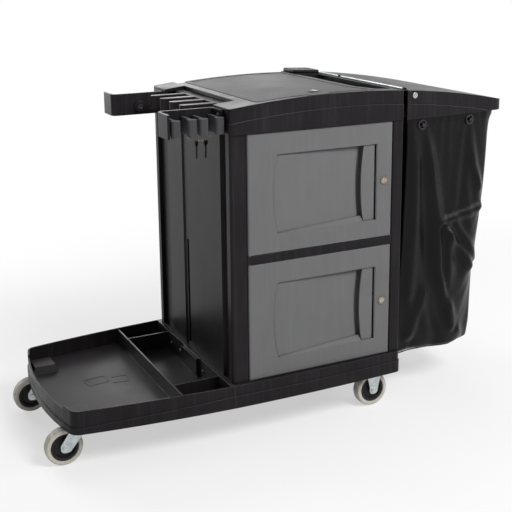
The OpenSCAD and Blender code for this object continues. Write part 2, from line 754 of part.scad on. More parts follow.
// Crowned shell with its openings, before the lid's hinge ears
module top_body() difference() {
  union() {
    difference() {
      union() {
        intersection() {
          slab(top_pts(0), top_z, crown_z);
          under_crown(fascia_band);
        }
        intersection() {
          slab(top_pts(fascia_step), top_z, crown_z + 1);
          under_crown(0);
        }
      }
      intersection() {
        slab(top_pts(top_wall + fascia_step), top_z - 1, crown_z);
        under_crown(crown_t);
      }
    }
    translate([notch_x0 - top_wall, notch_y, notch_z - 6])
      cube([notch_x1 - notch_x0 + 2*top_wall, top_hw - fascia_step - 1 - notch_y, 6]);
  }
  difference() {
    union() {
      slab(lid_pts(-lid_gap), top_floor_z, 2*crown_z);
      slab(tab_pts(-lid_gap), top_floor_z, 2*crown_z);
    }
    under_crown(lid_t + clear);
  }
  slab(lid_box(lid_ledge), top_floor_z + 1, 2*crown_z);
  translate([notch_x0, notch_y, notch_z]) cube([notch_x1 - notch_x0, top_hw, crown_z]);
  slab(slot_mouth, top_floor_z + 1, 2*crown_z);
  translate([-top_over - 1, -comb_hw - clear, comb_top - comb_h - clear])
    cube([rack_step_x + top_over + 1, 2*(comb_hw + clear), crown_z]);
  difference() {
    translate([cab_l - end_groove_in, -top_hw - 1, top_floor_z])
      cube([end_groove, 2*top_hw + 2, crown_z]);
    under_crown(end_groove);
  }
  arm_screw_spots() screw_hole(2*end_t);
  flange_screw_spots() screw_hole(end_t);
}

// Outline of the lid's front tab, drawn in by d
function tab_pts(d) =
  box_pts(tab_x - tab_w/2 + d, d - lid_front - tab_out, tab_x + tab_w/2 - d, 30 - lid_front, 9);
// Outline of the open tray's mouth, whose corner follows the lid's
slot_mouth = rounded([[slot_x0 + lid_flare, -slot_front], [slot_x1, -slot_front], [slot_x1, slot_rear],
  [slot_x0, slot_rear], [slot_x0, flare_l - lid_front]], [flare_r, slot_r, slot_r, slot_r, flare_root_r]);
// Outline of the open tray below its mouth, drawn in by d
function slot_box(d) =
  box_pts(slot_x0 + d, d - slot_front, slot_x1 - d, slot_rear - d, slot_r - d);
// Outline of the opening and the tray below the lid, drawn in by d
function lid_box(d) =
  box_pts(lid_x0 + d, d - lid_front, lid_x1 - d, lid_rear - d, max(lid_r - d, 2));

// Open tray with the given outer and inner outlines, standing on the floor of the top
module tray(outer, inner) difference() {
  slab(outer, top_floor_z, top_floor_z + tray_h);
  slab(inner, top_floor_z + tray_t, crown_z);
}

module lidded_tray() color(black) cart()
  tray(lid_box(lid_ledge + 1), lid_box(lid_ledge + 1 + tray_t));

module open_tray() color(black) cart() tray(slot_box(1), slot_box(1 + tray_t));

module frame_screws() color(steel) cart() {
  seam_screw_spots() screw(screw_d, seam_screw_l);
  arm_screw_spots() screw(screw_d, arm_t + 5);
  flange_screw_spots() screw(screw_d, flange_t + 5);
  back_screw_spots() screw(screw_d, post_t);
}

module door_hinge_pins() color(steel) cart() {
  bar_z(hinge_x, hinge_y, deck_top - deck_plate, lower_door_z + hinge_pin_in, hinge_pin_d);
  bar_z(hinge_x, hinge_y, lower_door_z + door_h - hinge_pin_in, upper_door_z + hinge_pin_in, hinge_pin_d);
  bar_z(hinge_x, hinge_y, upper_door_z + door_h - hinge_pin_in, top_floor_z, hinge_pin_d);
}

module lid_hinge_pins() color(steel) cart() for (x = lid_pin_spots)
  bar_x(x - knuckle_l*1.5, lid_hinge_y, lid_hinge_z, 3*knuckle_l, lid_pin_d);

// Ears of the top that hold a lid pin on both sides of the lid's knuckle
module lid_ears() for (x = lid_pin_spots, s = [-1, 1]) difference() {
  translate([x + s*(knuckle_l + clear) - knuckle_l/2, lid_hinge_y, 0]) {
    bar_x(0, 0, lid_hinge_z, knuckle_l, ear_d);
    translate([0, -ear_d/2, notch_z - 1]) cube([knuckle_l, ear_d, lid_hinge_z - notch_z + 1]);
  }
  bar_x(x - 3*knuckle_l, lid_hinge_y, lid_hinge_z, 6*knuckle_l, lid_pin_d + 2*seat_fit);
}

// Arm on the front side: a root flange, a long plate and a tip turned outward
function arm_pts() =
  let (tip = -arm_reach, in = -arm_y, root_out = -arm_y - arm_root_l)
  rounded([[arm_root, in], [tip, in], [tip, -arm_out], [tip + arm_t, -arm_out],
    [tip + arm_t, in - arm_t], [arm_root - arm_t, in - arm_t], [arm_root - arm_t, root_out],
    [arm_root, root_out]], [0, 16, 2, 2, 10, 6, 2, 0]);

module tool_arm() difference() {
  union() {
    slab(arm_pts(), arm_z, arm_z + arm_h);
    bar_y(-arm_bore_x, -arm_y + boss_out, arm_z + arm_bore_z, boss_out + 1, arm_bore_d + 14);
  }
  bar_y(-arm_bore_x, 0, arm_z + arm_bore_z, arm_out, arm_bore_d);
  arm_screw_spots() screw_hole(2*end_t);
}

module tool_arm_front() color(black) cart() tool_arm();

module tool_arm_rear() color(black) cart() mirror([0, 1, 0]) tool_arm();

// Half of a tool clip: a stem on the arm with a chamfered paddle that leans over the gap
module clip_jaw() slab(rounded([[-4, 0], [4, 0], [4, -stem_l], [jaw_w/2, -stem_l - 3],
  [jaw_w/2, -stem_l - 13], [jaw_w/2 - 4, -stem_l - 17], [4 - jaw_w/2, -stem_l - 17],
  [-jaw_w/2, -stem_l - 13], [-jaw_w/2, -stem_l - 3], [-4, -stem_l]],
  [0, 0, 3, 2, 3, 2, 2, 3, 2, 3]), arm_z + 3, arm_z + 3 + jaw_h);

module clip_jaws() for (c = [-0.5, 0.5], s = [-0.5, 0.5])
  translate([clip_mid + c*clip_pitch + s*(clip_gap + jaw_w), -jaw_y, 0]) clip_jaw();

module clip_jaws_front() color(grey) cart() clip_jaws();

module clip_jaws_rear() color(grey) cart() mirror([0, 1, 0]) clip_jaws();

// Outline of one comb finger, drawn in by d
function finger_pts(d) =
  box_pts(d - finger_reach, d - finger_w/2, comb_in + 6 - d, finger_w/2 - d, finger_w/2 - d - 1);

module comb_block(d, z0, z1) {
  slab(box_pts(comb_in + d, d - comb_hw, rack_step_x - clear - d, comb_hw - d, 1), z0, z1);
  for (i = [1:fingers]) translate([0, 2*arm_y*(i/(fingers + 1) - 0.5), 0]) slab(finger_pts(d), z0, z1);
}

module tool_comb() color(black) cart() difference() {
  comb_block(0, comb_top - comb_h, comb_top);
  comb_block(comb_wall, comb_top - comb_h - 1, comb_top - comb_wall);
}

// Half width of an outline that lies d inside the hood's side, at the place x
function side_y(x, d) = hood_hw - d - (hood_hw - hood_end_hw)*(x - hood_x0)/(hood_x1 - hood_x0);

module bag_frame() color(black) cart() difference() {
  union() {
    ring(hood_pts(frame_in, cab_l), hood_pts(frame_in + rail_w, cab_l - 5), rail_z, rail_top);
    both_sides() {
      translate([cab_l, -side_y(cab_l, frame_in) + 2, rail_z - 2])
        cube([flange_t, rail_w + 24, rail_h + 14]);
      pivot_pillar();
    }
  }
  flange_screw_spots() screw_hole(end_t);
  bar_y(pivot_at, top_hw, pivot_z, 2*top_hw, pivot_d + 2*seat_fit);
}

// Upright on the front rail that carries the hood's pivot
module pivot_pillar() {
  y = side_y(pivot_at + pillar_w, frame_in);
  boss_end = side_y(pivot_at + pillar_w/2, hood_t + fascia_step + 0.5);
  translate([pivot_at - pillar_back, -y, rail_z]) cube([pillar_w, rail_w, pivot_z - rail_z]);
  bar_y(pivot_at, rail_w - y, pivot_z, boss_end - y + rail_w, pillar_w);
}

module bag_hooks() color(steel) cart() both_sides() for (x = hook_spots) {
  y = side_y(x + 8, frame_in);
  translate([x - 8, -y, grommet_z - 8]) cube([16, 5, rail_z - grommet_z + 8]);
  bar_y(x, 2 - y, grommet_z, frame_in - bag_in + 12, 10);
}

// Rings of the bag from its hem to its bottom, as shares of the way down, of its length and of its width
bag_levels = [[0, 1, 1], [0.09, 1, 1], [0.22, 1, 0.995], [0.36, 0.99, 0.985], [0.5, 0.975, 0.97],
  [0.64, 0.96, 0.945], [0.78, 0.94, 0.915], [0.9, 0.915, 0.885], [0.97, 0.89, 0.855], [1, 0.85, 0.81]];

// Waves of the bag's folds, as waves round the bag, start, twist on the way down and share of the depth
bag_waves = [[5, 30, 120, 0.55], [7, 80, -160, 0.45]];

// How far the cloth stands out towards the angle a at the share t of the way down
function fold_out(a, t) = fold*min(1, max(0, (t - 0.1)*2.5))
  *([for (w = bag_waves) w[3]]*[for (w = bag_waves) sin(w[0]*a + w[1] + w[2]*t)]);

// Points of the bag's wall, drawn in by d, with the lowest ring raised by lift.
// The side towards the cabinet stays below the frame's rails.
function bag_ring(level, d, lift) =
  let (x0 = bag_x0 + d, z = bag_top - bag_h*level[0])
  [for (p = hood_pts(bag_in + d, x0, 9))
    let (a = atan2(p[1], p[0] - bag_mid), r = fold_out(a, level[0]))
    [max(x0 + (p[0] - x0)*level[1] + r*cos(a), x0 - fold/3), p[1]*level[2] + r*sin(a),
      max(p[0] < x0 + 1 ? min(z, rail_z - 2) : z, bag_z + lift)]];

function bag_wall(d, lift) = [for (l = bag_levels) each bag_ring(l, d, lift)];

module bag() color(black) cart() difference() {
  bag_solid();
  both_sides() for (x = hook_spots)
    bar_y(x, 0, grommet_z, top_hw, grommet_bore);
}

// Open-topped shell with an outer and an inner wall of rings
module bag_solid() {
  outer = bag_wall(0, 0);
  inner = bag_wall(bag_t, bag_t);
  n = len(bag_ring(bag_levels[0], 0, 0));
  m = len(bag_levels);
  k = n*m;
  sides = [for (j = [0:m - 2], i = [0:n - 1])
    let (a = j*n + i, b = j*n + (i + 1)%n) [a, b, b + n, a + n]];
  polyhedron(concat(outer, inner), concat(
    [for (f = sides) each [[f[0], f[2], f[1]], [f[0], f[3], f[2]]]],
    [for (f = sides) each [[k + f[0], k + f[1], k + f[2]], [k + f[0], k + f[2], k + f[3]]]],
    [for (i = [0:n - 1]) let (b = (i + 1)%n) each [[i, b, k + b], [i, k + b, k + i]]],
    [[for (i = [0:n - 1]) (m - 1)*n + n - 1 - i]],
    [[for (i = [0:n - 1]) k + (m - 1)*n + i]]));
}

module bag_grommets() color(steel) cart() both_sides() for (x = hook_spots)
  translate([x, -side_y(x, bag_in) - 0.1, grommet_z]) rotate([0, 0, side_a]) difference() {
    bar_y(0, 0, 0, 3, grommet_d);
    bar_y(0, 1, 0, 6, grommet_bore);
  }

module hood_pivot_screws() color(steel) cart() both_sides() {
  y = side_y(pivot_at, fascia_step);
  inner = side_y(pivot_at, frame_in) - rail_w;
  bar_y(pivot_at, -inner, pivot_z, y - inner + 2, pivot_d);
  bar_y(pivot_at, -y - 0.6, pivot_z, 4, 2*pivot_d);
}

module hood() color(black) cart() difference() {
  union() {
    intersection() {
      slab(hood_pts(0, hood_x0), top_z - 1, crown_z);
      under_crown(fascia_band);
    }
    intersection() {
      slab(hood_pts(fascia_step, hood_x0), top_z - 1, crown_z);
      under_crown(0);
    }
    intersection() {
      slab(hood_pts(0, hood_x0), top_z - 1, crown_z);
      under_crown(1);
      translate([hood_x0 - 1, -top_hw, top_z - 1]) cube([hood_band + 1, 2*top_hw, crown_z]);
    }
    bar_y(hood_x0 + bead_d/2, bead_hw, crown_at(hood_x0) - bead_d/2 + 1.5, 2*bead_hw, bead_d);
  }
  intersection() {
    slab(hood_pts(hood_t + fascia_step, hood_x0 - 10), deck_top, crown_z);
    under_crown(hood_t);
  }
  bar_y(pivot_at, top_hw + 9, pivot_z, 2*top_hw + 18, pivot_d + 2*run_fit);
}

module lid() color(grey) cart() difference() {
  union() {
    intersection() {
      union() {
        slab(lid_pts(0), top_z, crown_z + 2*lid_proud);
        slab(tab_pts(0), top_z, crown_z + 2*lid_proud);
      }
      difference() {
        under_crown(-lid_proud);
        under_crown(lid_t);
      }
    }
    lid_knuckles();
  }
  difference() {
    slab(lid_pts(border), top_z, 2*crown_z);
    under_crown(border_t - lid_proud);
    bar_z(lid_lock_x, -lid_lock_y, top_z, 2*crown_z, 2*lock_d);
  }
  bar_z(lid_lock_x, -lid_lock_y, top_z, crown_z + 9, lock_d + 2*seat_fit);
}

// Knuckles under the lid's rear edge
module lid_knuckles() for (x = lid_pin_spots) translate([x - knuckle_l/2, 0, 0]) difference() {
  union() {
    bar_x(0, lid_hinge_y, lid_hinge_z, knuckle_l, ear_d - 1);
    translate([0, lid_rear - 12, lid_hinge_z - 2])
      cube([knuckle_l, lid_hinge_y - lid_rear + 12, 4]);
    translate([0, lid_rear - 12, lid_hinge_z - 2])
      cube([knuckle_l, 11, crown_at(x) - lid_t/2 - lid_hinge_z]);
  }
  bar_x(-1, lid_hinge_y, lid_hinge_z, knuckle_l + 2, lid_pin_d + 2*run_fit);
}

// Key lock along Y through a wall of thickness t, with its face towards -Y
module lock_barrel(t) difference() {
  union() {
    bar_y(0, t + 1, 0, t + 1, lock_d);
    bar_y(0, 0, 0, 2, lock_d + 4);
  }
  bar_y(0, t + 2, 0, t + 5, plug_d + 2*run_fit);
}

module lock_plug(t) difference() {
  bar_y(0, t + 2, 0, t + 4.6, plug_d);
  translate([-0.8, -3, -plug_d*0.3]) cube([1.6, 10, plug_d*0.6]);
}

module lock_cam(t) translate([0, t + 2 + cam_t, 0]) rotate([90, 0, 0]) linear_extrude(cam_t)
  polygon(box_pts(-cam_w/2, -cam_w/2, cam_w/2, cam_l, cam_w/2 - 1));

module lid_lock_place() translate([lid_lock_x, -lid_lock_y, lid_lock_top]) rotate([0, 0, -90])
  rotate([-90, 0, 0]) children();

module lid_lock_barrel() color(brass) cart() lid_lock_place() lock_barrel(lid_lock_t);

module lid_lock_plug() color(steel) cart() lid_lock_place() lock_plug(lid_lock_t);

module lid_lock_cam() color(steel) cart() lid_lock_place() lock_cam(lid_lock_t);

// Places a door at height z, with its origin at its lower hinge corner on its face
module door_place(z) cart() translate([door_x0, -half_d, z]) children();

module door_lock_place(z) door_place(z) translate([lock_x, 0, lock_z]) children();

// Plan of a door, drawn in by d on three sides and carried back to y1
function door_plan(d, y1) = rounded([[d, d], [door_w - d, d], [door_w - d, y1], [d, y1]],
  [max(hinge_r - d, 1), 3, 0, 0]);

// Prism of the recess outline, drawn in by d, between two depths
module pan_prism(d, y0, y1) translate([0, y1, 0]) rotate([90, 0, 0]) linear_extrude(y1 - y0)
  polygon(pan_pts(d));

// Everything in front of the tilted recess floor, moved back by extra
module before_floor(extra) translate([pan_x0, pan_step + extra, -door_h])
  rotate([0, 0, atan((pan_end - pan_step)/(grip_x - pan_x0))])
    translate([-door_w, -door_w, 0]) cube([3*door_w, door_w, 3*door_h]);

// The disc whose rim is the curved edge of the grip, widened by w
module grip_zone(w) {
  r = (pow(pan_h/2, 2) + pow(grip_bulge, 2))/(2*grip_bulge);
  translate([grip_x + r, 2*door_t, pan_z0 + pan_h/2]) rotate([90, 0, 0])
    cylinder(r = r + w, h = 3*door_t, $fn = 720);
}

// Slice of the door that holds the finger pocket, widened by w
module pocket_zone(w) intersection() {
  grip_zone(pocket_gap + w);
  translate([0, -1, 0]) cube([grip_x + grip_bulge + grip_reach + w, door_t, door_h]);
}

module pan_cut() {
  pan_prism(0, -1, pan_step);
  difference() {
    intersection() {
      pan_prism(0, -1, pan_depth);
      before_floor(0);
    }
    grip_zone(0);
  }
  difference() {
    intersection() {
      pan_prism(pocket_inset, -1, pan_depth);
      pocket_zone(0);
    }
    intersection() {
      grip_zone(0);
      translate([0, -door_t, 0]) cube([door_w, door_t + pan_step + grip_t, door_h]);
    }
  }
}

// Moulded wall behind the recess
module pan_wall() intersection() {
  pan_prism(-door_skin, 0, pan_depth + door_skin);
  union() {
    intersection() {
      before_floor(door_skin);
      translate([0, -1, 0]) cube([grip_x + grip_bulge, 2*door_t, door_h]);
    }
    pocket_zone(door_skin);
  }
}

module door_body() difference() {
  union() {
    difference() {
      linear_extrude(door_h) polygon(door_plan(0, door_t));
      translate([0, 0, door_skin]) linear_extrude(door_h - 2*door_skin)
        polygon(door_plan(door_skin, door_t + 1));
    }
    for (z = [0, door_h - hinge_boss]) bar_z(hinge_r, hinge_r, z, z + hinge_boss, 2*hinge_r - 1);
    bar_y(lock_x, lock_boss, lock_z, lock_boss, lock_d + 5);
    pan_wall();
  }
  pan_cut();
  for (z = [-1, door_h - hinge_pin_in - 1])
    bar_z(hinge_r, hinge_r, z, z + hinge_pin_in + 2, hinge_pin_d + 2*run_fit);
  bar_y(lock_x, 2*door_t, lock_z, 3*door_t, lock_d + 2*seat_fit);
}

// Flat inner cover of a door with a raised border
module door_cover() {
  e = door_skin + clear;
  difference() {
    translate([e, door_t - liner_t, e]) cube([door_w - 2*e, liner_t, door_h - 2*e]);
    translate([e + cover_edge, door_t - 1, e + cover_edge])
      cube([door_w - 2*(e + cover_edge), 2, door_h - 2*(e + cover_edge)]);
    bar_y(lock_x, 2*door_t, lock_z, 2*door_t, lock_d + 2*seat_fit);
  }
}

module lower_door_skin() color(grey) door_place(lower_door_z) door_body();
module lower_door_liner() color(black) door_place(lower_door_z) door_cover();
module lower_lock_barrel() color(brass) door_lock_place(lower_door_z) lock_barrel(door_t);
module lower_lock_plug() color(steel) door_lock_place(lower_door_z) lock_plug(door_t);
module lower_lock_cam() color(steel) door_lock_place(lower_door_z) lock_cam(door_t);
module upper_door_skin() color(grey) door_place(upper_door_z) door_body();
module upper_door_liner() color(black) door_place(upper_door_z) door_cover();
module upper_lock_barrel() color(brass) door_lock_place(upper_door_z) lock_barrel(door_t);
module upper_lock_plug() color(steel) door_lock_place(upper_door_z) lock_plug(door_t);
module upper_lock_cam() color(steel) door_lock_place(upper_door_z) lock_cam(door_t);

// Outline of a fork leg from its top half width to the eye round the axle at x
function leg_pts(half, top, x) = rounded([[half, top], [-half, top], [x - 12, wheel_r + 9],
  [x - 12, wheel_r - 12], [x + 12, wheel_r - 12], [half - 2, top - 20]], [0, 0, 8, 11, 11, 8]);

// Both legs of a fork, drilled for the axle
module fork_legs(half, top, x) difference() {
  both_sides() translate([0, -fork_y, 0]) rotate([90, 0, 0]) linear_extrude(fork_t)
    polygon(leg_pts(half, top, x));
  bar_y(x, 2*fork_y, wheel_r, 4*fork_y, axle_d + 2*seat_fit);
}

// Axle bolt along Y with its head and nut
module axle(x) translate([x, 0, wheel_r]) {
  l = fork_y + fork_t;
  bar_y(0, l + 2, 0, 2*l + 4, axle_d);
  bar_y(0, -l, 0, 5, axle_d*1.7);
  translate([0, l + 6, 0]) rotate([90, 0, 0]) cylinder(d = axle_d*1.7, h = 6, $fn = 6);
}

// Wheel centre with boss, web and rim
module hub(x) translate([x, 0, wheel_r]) rotate([90, 0, 0]) rotate_extrude() {
  r = wheel_r - tread_t - seat_fit;
  b = axle_d/2 + run_fit;
  w = tread_w/2;
  face = fork_y - clear;
  polygon([[b, -face], [b + 6, -face], [b + 8, 3 - w], [b + 8, 6 - w], [r - 9, 8 - w],
    [r - 7, 3 - w], [r - 2, 1 - w], [r, 2 - w], [r, w - 2], [r - 2, w - 1], [r - 7, w - 3],
    [r - 9, w - 8], [b + 8, w - 6], [b + 8, w - 3], [b + 6, face], [b, face]]);
}

// Crowned tyre ring
module tread(x) translate([x, 0, wheel_r]) rotate([90, 0, 0]) rotate_extrude() {
  r = wheel_r - tread_t;
  w = tread_w/2;
  polygon([[r, 2 - w], [r + 2, -w], [wheel_r - 5, -w], [wheel_r - 2, 2 - w], [wheel_r - 0.4, 6 - w],
    [wheel_r, 10 - w], [wheel_r, w - 10], [wheel_r - 0.4, w - 6], [wheel_r - 2, w - 2], [wheel_r - 5, w],
    [r + 2, w], [r, w - 2]]);
}

module swivel_place(s) cart() translate([-swivel_x, s*swivel_y, 0]) children();
module fixed_place(s) cart() translate([fixed_x, s*fixed_y, 0]) children();

// Bolted disc with its ball race and the riveted kingpin
module swivel_mounts() color(steel) for (s = [-1, 1]) swivel_place(s) {
  bar_z(0, 0, caster_h - 4, caster_h, 2*head_r + 4);
  bar_z(0, 0, cup_z, caster_h - 3, 2*head_r);
  bar_z(0, 0, bridge_z - 3, cup_z + 1, kingpin_d);
  bar_z(0, 0, bridge_z - 3.5, bridge_z - 0.3, kingpin_d + 7);
}

module swivel_fork() difference() {
  union() {
    bar_z(0, 0, disc_z - 1, cup_z - 0.4, 2*head_r - 3);
    translate([-fork_hw, -fork_y - fork_t, bridge_z]) cube([2*fork_hw, 2*(fork_y + fork_t), 4]);
    fork_legs(fork_hw, disc_z, -trail);
  }
  bar_z(0, 0, bridge_z - 1, cup_z, kingpin_d + 2*run_fit);
}

module fixed_forks() color(steel) for (s = [-1, 1]) fixed_place(s) {
  translate([-fixed_plate_l/2, -fixed_plate_w/2, caster_h - plate_t])
    cube([fixed_plate_l, fixed_plate_w, plate_t]);
  fork_legs(28, caster_h - plate_t/2, 0);
}

module fixed_axles() color(steel) for (s = [-1, 1]) fixed_place(s) axle(0);
module swivel_fork_front() color(steel) swivel_place(-1) swivel_fork();
module swivel_fork_rear() color(steel) swivel_place(1) swivel_fork();
module swivel_axle_front() color(steel) swivel_place(-1) axle(-trail);
module swivel_axle_rear() color(steel) swivel_place(1) axle(-trail);
module swivel_hub_front() color(black) swivel_place(-1) hub(-trail);
module swivel_hub_rear() color(black) swivel_place(1) hub(-trail);
module swivel_tread_front() color(grey) swivel_place(-1) tread(-trail);
module swivel_tread_rear() color(grey) swivel_place(1) tread(-trail);
module fixed_hub_front() color(black) fixed_place(-1) hub(0);
module fixed_hub_rear() color(black) fixed_place(1) hub(0);
module fixed_tread_front() color(grey) fixed_place(-1) tread(0);
module fixed_tread_rear() color(grey) fixed_place(1) tread(0);

base_deck();
mop_platform();
left_end_panel();
right_end_panel();
back_panel();
front_left_post();
front_right_post();
rear_left_post();
rear_right_post();
middle_shelf();
top_floor();
top_shell();
lidded_tray();
open_tray();
frame_screws();
door_hinge_pins();
lid_hinge_pins();
tool_arm_front();
tool_arm_rear();
tool_comb();
clip_jaws_front();
clip_jaws_rear();
bag_frame();
bag_hooks();
bag();
bag_grommets();
hood_pivot_screws();
fixed_forks();
fixed_axles();
swivel_mounts();
hood();
lid();
lid_lock_barrel();
lid_lock_plug();
lid_lock_cam();
lower_door_skin();
lower_door_liner();
lower_lock_barrel();
lower_lock_plug();
lower_lock_cam();
upper_door_skin();
upper_door_liner();
upper_lock_barrel();
upper_lock_plug();
upper_lock_cam();
swivel_fork_front();
swivel_fork_rear();
swivel_axle_front();
swivel_axle_rear();
swivel_hub_front();
swivel_hub_rear();
swivel_tread_front();
swivel_tread_rear();
fixed_hub_front();
fixed_hub_rear();
fixed_tread_front();
fixed_tread_rear();
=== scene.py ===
# %% [markdown]
# A janitor cart: a black moulded cabinet with two grey doors, a bucket platform at one end and a
# hooded nylon bag at the other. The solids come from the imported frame, so this lesson is about
# looks: a camera that stands where the photo was taken, finishes made from nodes, and a bag that
# is hung and left to fall.

# %% Frame
import json
import math

import bmesh
import bpy
import numpy as np
from mathutils import Matrix, Vector


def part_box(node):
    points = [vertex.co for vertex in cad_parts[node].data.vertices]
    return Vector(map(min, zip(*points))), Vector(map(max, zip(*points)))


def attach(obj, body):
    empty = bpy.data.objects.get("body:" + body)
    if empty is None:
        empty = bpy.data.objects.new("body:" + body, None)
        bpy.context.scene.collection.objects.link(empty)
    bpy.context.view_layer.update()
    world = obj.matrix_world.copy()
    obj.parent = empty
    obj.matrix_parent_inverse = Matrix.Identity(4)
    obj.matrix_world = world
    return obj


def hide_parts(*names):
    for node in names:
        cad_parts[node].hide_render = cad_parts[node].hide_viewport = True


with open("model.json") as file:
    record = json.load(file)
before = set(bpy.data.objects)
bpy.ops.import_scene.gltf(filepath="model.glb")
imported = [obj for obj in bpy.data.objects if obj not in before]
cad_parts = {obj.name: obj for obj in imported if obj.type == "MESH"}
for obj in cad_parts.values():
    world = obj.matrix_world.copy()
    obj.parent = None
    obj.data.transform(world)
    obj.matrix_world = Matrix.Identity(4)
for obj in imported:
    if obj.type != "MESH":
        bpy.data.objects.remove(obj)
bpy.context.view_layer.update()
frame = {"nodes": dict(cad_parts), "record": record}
nodes = frame["nodes"]
for plain in list(bpy.data.materials):
    bpy.data.materials.remove(plain)
scene = bpy.context.scene
scene.view_settings.view_transform = "Standard"

# %% [markdown]
# The source of the part measures from the seam between the platform and the cabinet, in
# millimetres. One small function takes such a place into this frame, in metres, so that every
# piece below can use the same numbers as the source.

# %% Places
SEAM_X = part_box("left_end_panel")[0][0]


def place(x, y, z):
    """A point given in millimetres from the seam, as a vector in metres."""
    return Vector((SEAM_X + x / 1000, y / 1000, z / 1000))


print("seam at", round(SEAM_X, 4))

# %% [markdown]
# The photo looks at the cart from its platform end, slightly from above. Its posts lean less than
# they would if the camera were tilted down to the middle of the cart. So the lens is aimed a little
# higher, and a small downward shift of the frame brings the cart back to the middle.

# %% Camera
EYE = place(-1020.9, -2520.7, 1282.4)
YAW, PITCH, ROLL = (math.radians(a) for a in (25.95, -12.91, -0.567))
FOCAL_PX, FRAME_PX, SENSOR_MM, FRAME_SHIFT = 990.96, 512, 36.0, -0.14
ahead = Vector((math.sin(YAW) * math.cos(PITCH), math.cos(YAW) * math.cos(PITCH), math.sin(PITCH)))
sideways = Vector((math.cos(YAW), -math.sin(YAW), 0))
upright = sideways.cross(ahead)
right = math.cos(ROLL) * sideways + math.sin(ROLL) * upright
up = math.cos(ROLL) * upright - math.sin(ROLL) * sideways
camera = bpy.data.objects.new("camera", bpy.data.cameras.new("camera"))
scene.collection.objects.link(camera)
camera.matrix_world = Matrix.Translation(EYE) @ Matrix((right, up, -ahead)).transposed().to_4x4()
camera.data.sensor_width = SENSOR_MM
camera.data.lens = FOCAL_PX / FRAME_PX * SENSOR_MM
camera.data.shift_y = FRAME_SHIFT
scene.camera = camera
print("lens", round(camera.data.lens, 1), "mm")

# %% [markdown]
# Finishes are written as sums and products. The class below holds one output of a node tree.
# Python's operators on it add Math nodes, and its one method `node` adds any other kind of node:
# settings first, then what goes into its sockets.


# %% Shader expressions
class Sock:
    """One output in a material's tree, on which +, - and * add Math nodes."""

    def __init__(self, tree, out=None):
        self.tree, self.out = tree, out

    def plug(self, socket, value):
        if isinstance(value, Sock):
            self.tree.links.new(value.out, socket)
        else:
            socket.default_value = value

    def node(self, kind, settings=None, inputs=None, out=0):
        made = self.tree.nodes.new(kind)
        for key, value in (settings or {}).items():
            setattr(made, key, value)
        for key, value in (inputs or {}).items():
            self.plug(made.inputs[key], value)
        return None if out is None else Sock(self.tree, made.outputs[out])

    def math(self, operation, a, b, clamp=False):
        settings = {"operation": operation, "use_clamp": clamp}
        return self.node("ShaderNodeMath", settings, {0: a, 1: b})

    def __add__(self, other):
        return self.math("ADD", self, other)

    def __sub__(self, other):
        return self.math("SUBTRACT", self, other)

    def __rsub__(self, other):
        return self.math("SUBTRACT", other, self)

    def __mul__(self, other):
        return self.math("MULTIPLY", self, other)

    __radd__, __rmul__ = __add__, __mul__

    def clamped(self):
        return self.math("ADD", self, 0.0, True)

    def between(self, low, high):
        """0 at low, 1 at high, and clamped outside."""
        return self.node("ShaderNodeMapRange", {"clamp": True}, {0: self, 1: low, 2: high})

    def blend(self, a, b):
        """Colour a where this is 0 and colour b where it is 1."""
        return self.node("ShaderNodeMix", {"data_type": "RGBA"}, {0: self, 6: a, 7: b}, 2)


def rgb(*srgb):
    """A colour in steps from 0 to 255, taken off the sRGB curve to what a shader takes."""
    scaled = [c / 255 for c in srgb]
    return tuple(c / 12.92 if c <= 0.04045 else ((c + 0.055) / 1.055) ** 2.4 for c in scaled) + (1.0,)


def finish(name, **constants):
    """A new material with constants on its shader, the start of its tree, and its sockets."""
    material = bpy.data.materials.new(name)
    material.use_nodes = True
    shader = material.node_tree.nodes["Principled BSDF"]
    for key, value in constants.items():
        shader.inputs[key.replace("_", " ")].default_value = value
    return material, Sock(material.node_tree), shader.inputs


print("Sock ready")

# %% [markdown]
# Every finish is built from the same few readings of the surface: where a point is, noise at that
# point, which way it faces, whether it lies on an edge and whether it lies in a corner. The Bevel node
# rounds the light on sharp CAD edges without touching the mesh, and comparing its normal with the true
# one finds the edges. Ambient occlusion finds the corners.

# %% Readings of the surface
EDGE_TURN, CORNER_SHARE, READ_SAMPLES = (0.01, 0.16), (0.05, 0.45), 6


def surface_place(s):
    return s.node("ShaderNodeTexCoord", out="Object")


def noise(s, at, scale, detail=3.0, rough=0.55, stretch=None):
    if stretch:
        at = s.node("ShaderNodeVectorMath", {"operation": "MULTIPLY"}, {0: at, 1: stretch})
    inputs = {"Vector": at, "Scale": scale, "Detail": detail, "Roughness": rough}
    return s.node("ShaderNodeTexNoise", None, inputs)


def facing(s, axis):
    """How far the true surface looks along an axis, from -1 to 1."""
    normal = s.node("ShaderNodeNewGeometry", out="Normal")
    return s.node("ShaderNodeSeparateXYZ", None, {0: normal}, axis)


def edge_light(s, radius):
    """The rounded normal near edges, and a mask that is 1 on them."""
    soft = s.node("ShaderNodeBevel", {"samples": READ_SAMPLES}, {"Radius": radius})
    true = s.node("ShaderNodeNewGeometry", out="Normal")
    along = s.node("ShaderNodeVectorMath", {"operation": "DOT_PRODUCT"}, {0: soft, 1: true}, "Value")
    return soft, (1 - along).between(*EDGE_TURN)


def painted_corner_shade(s, reach):
    """A mask that is 1 in the corners of steps and grooves, where the colour is darkened as painted shade."""
    settings = {"samples": READ_SAMPLES}
    open_share = s.node("ShaderNodeAmbientOcclusion", settings, {"Distance": reach}, "AO")
    return (1 - open_share).between(*CORNER_SHARE)


def bump(s, strength, distance, height, soft=None):
    """A Bump node over the rounded normal, or over the mesh's own."""
    inputs = {"Strength": strength, "Distance": distance, "Height": height}
    if soft is not None:
        inputs["Normal"] = soft
    return s.node("ShaderNodeBump", None, inputs)


print("readings take", READ_SAMPLES, "samples")
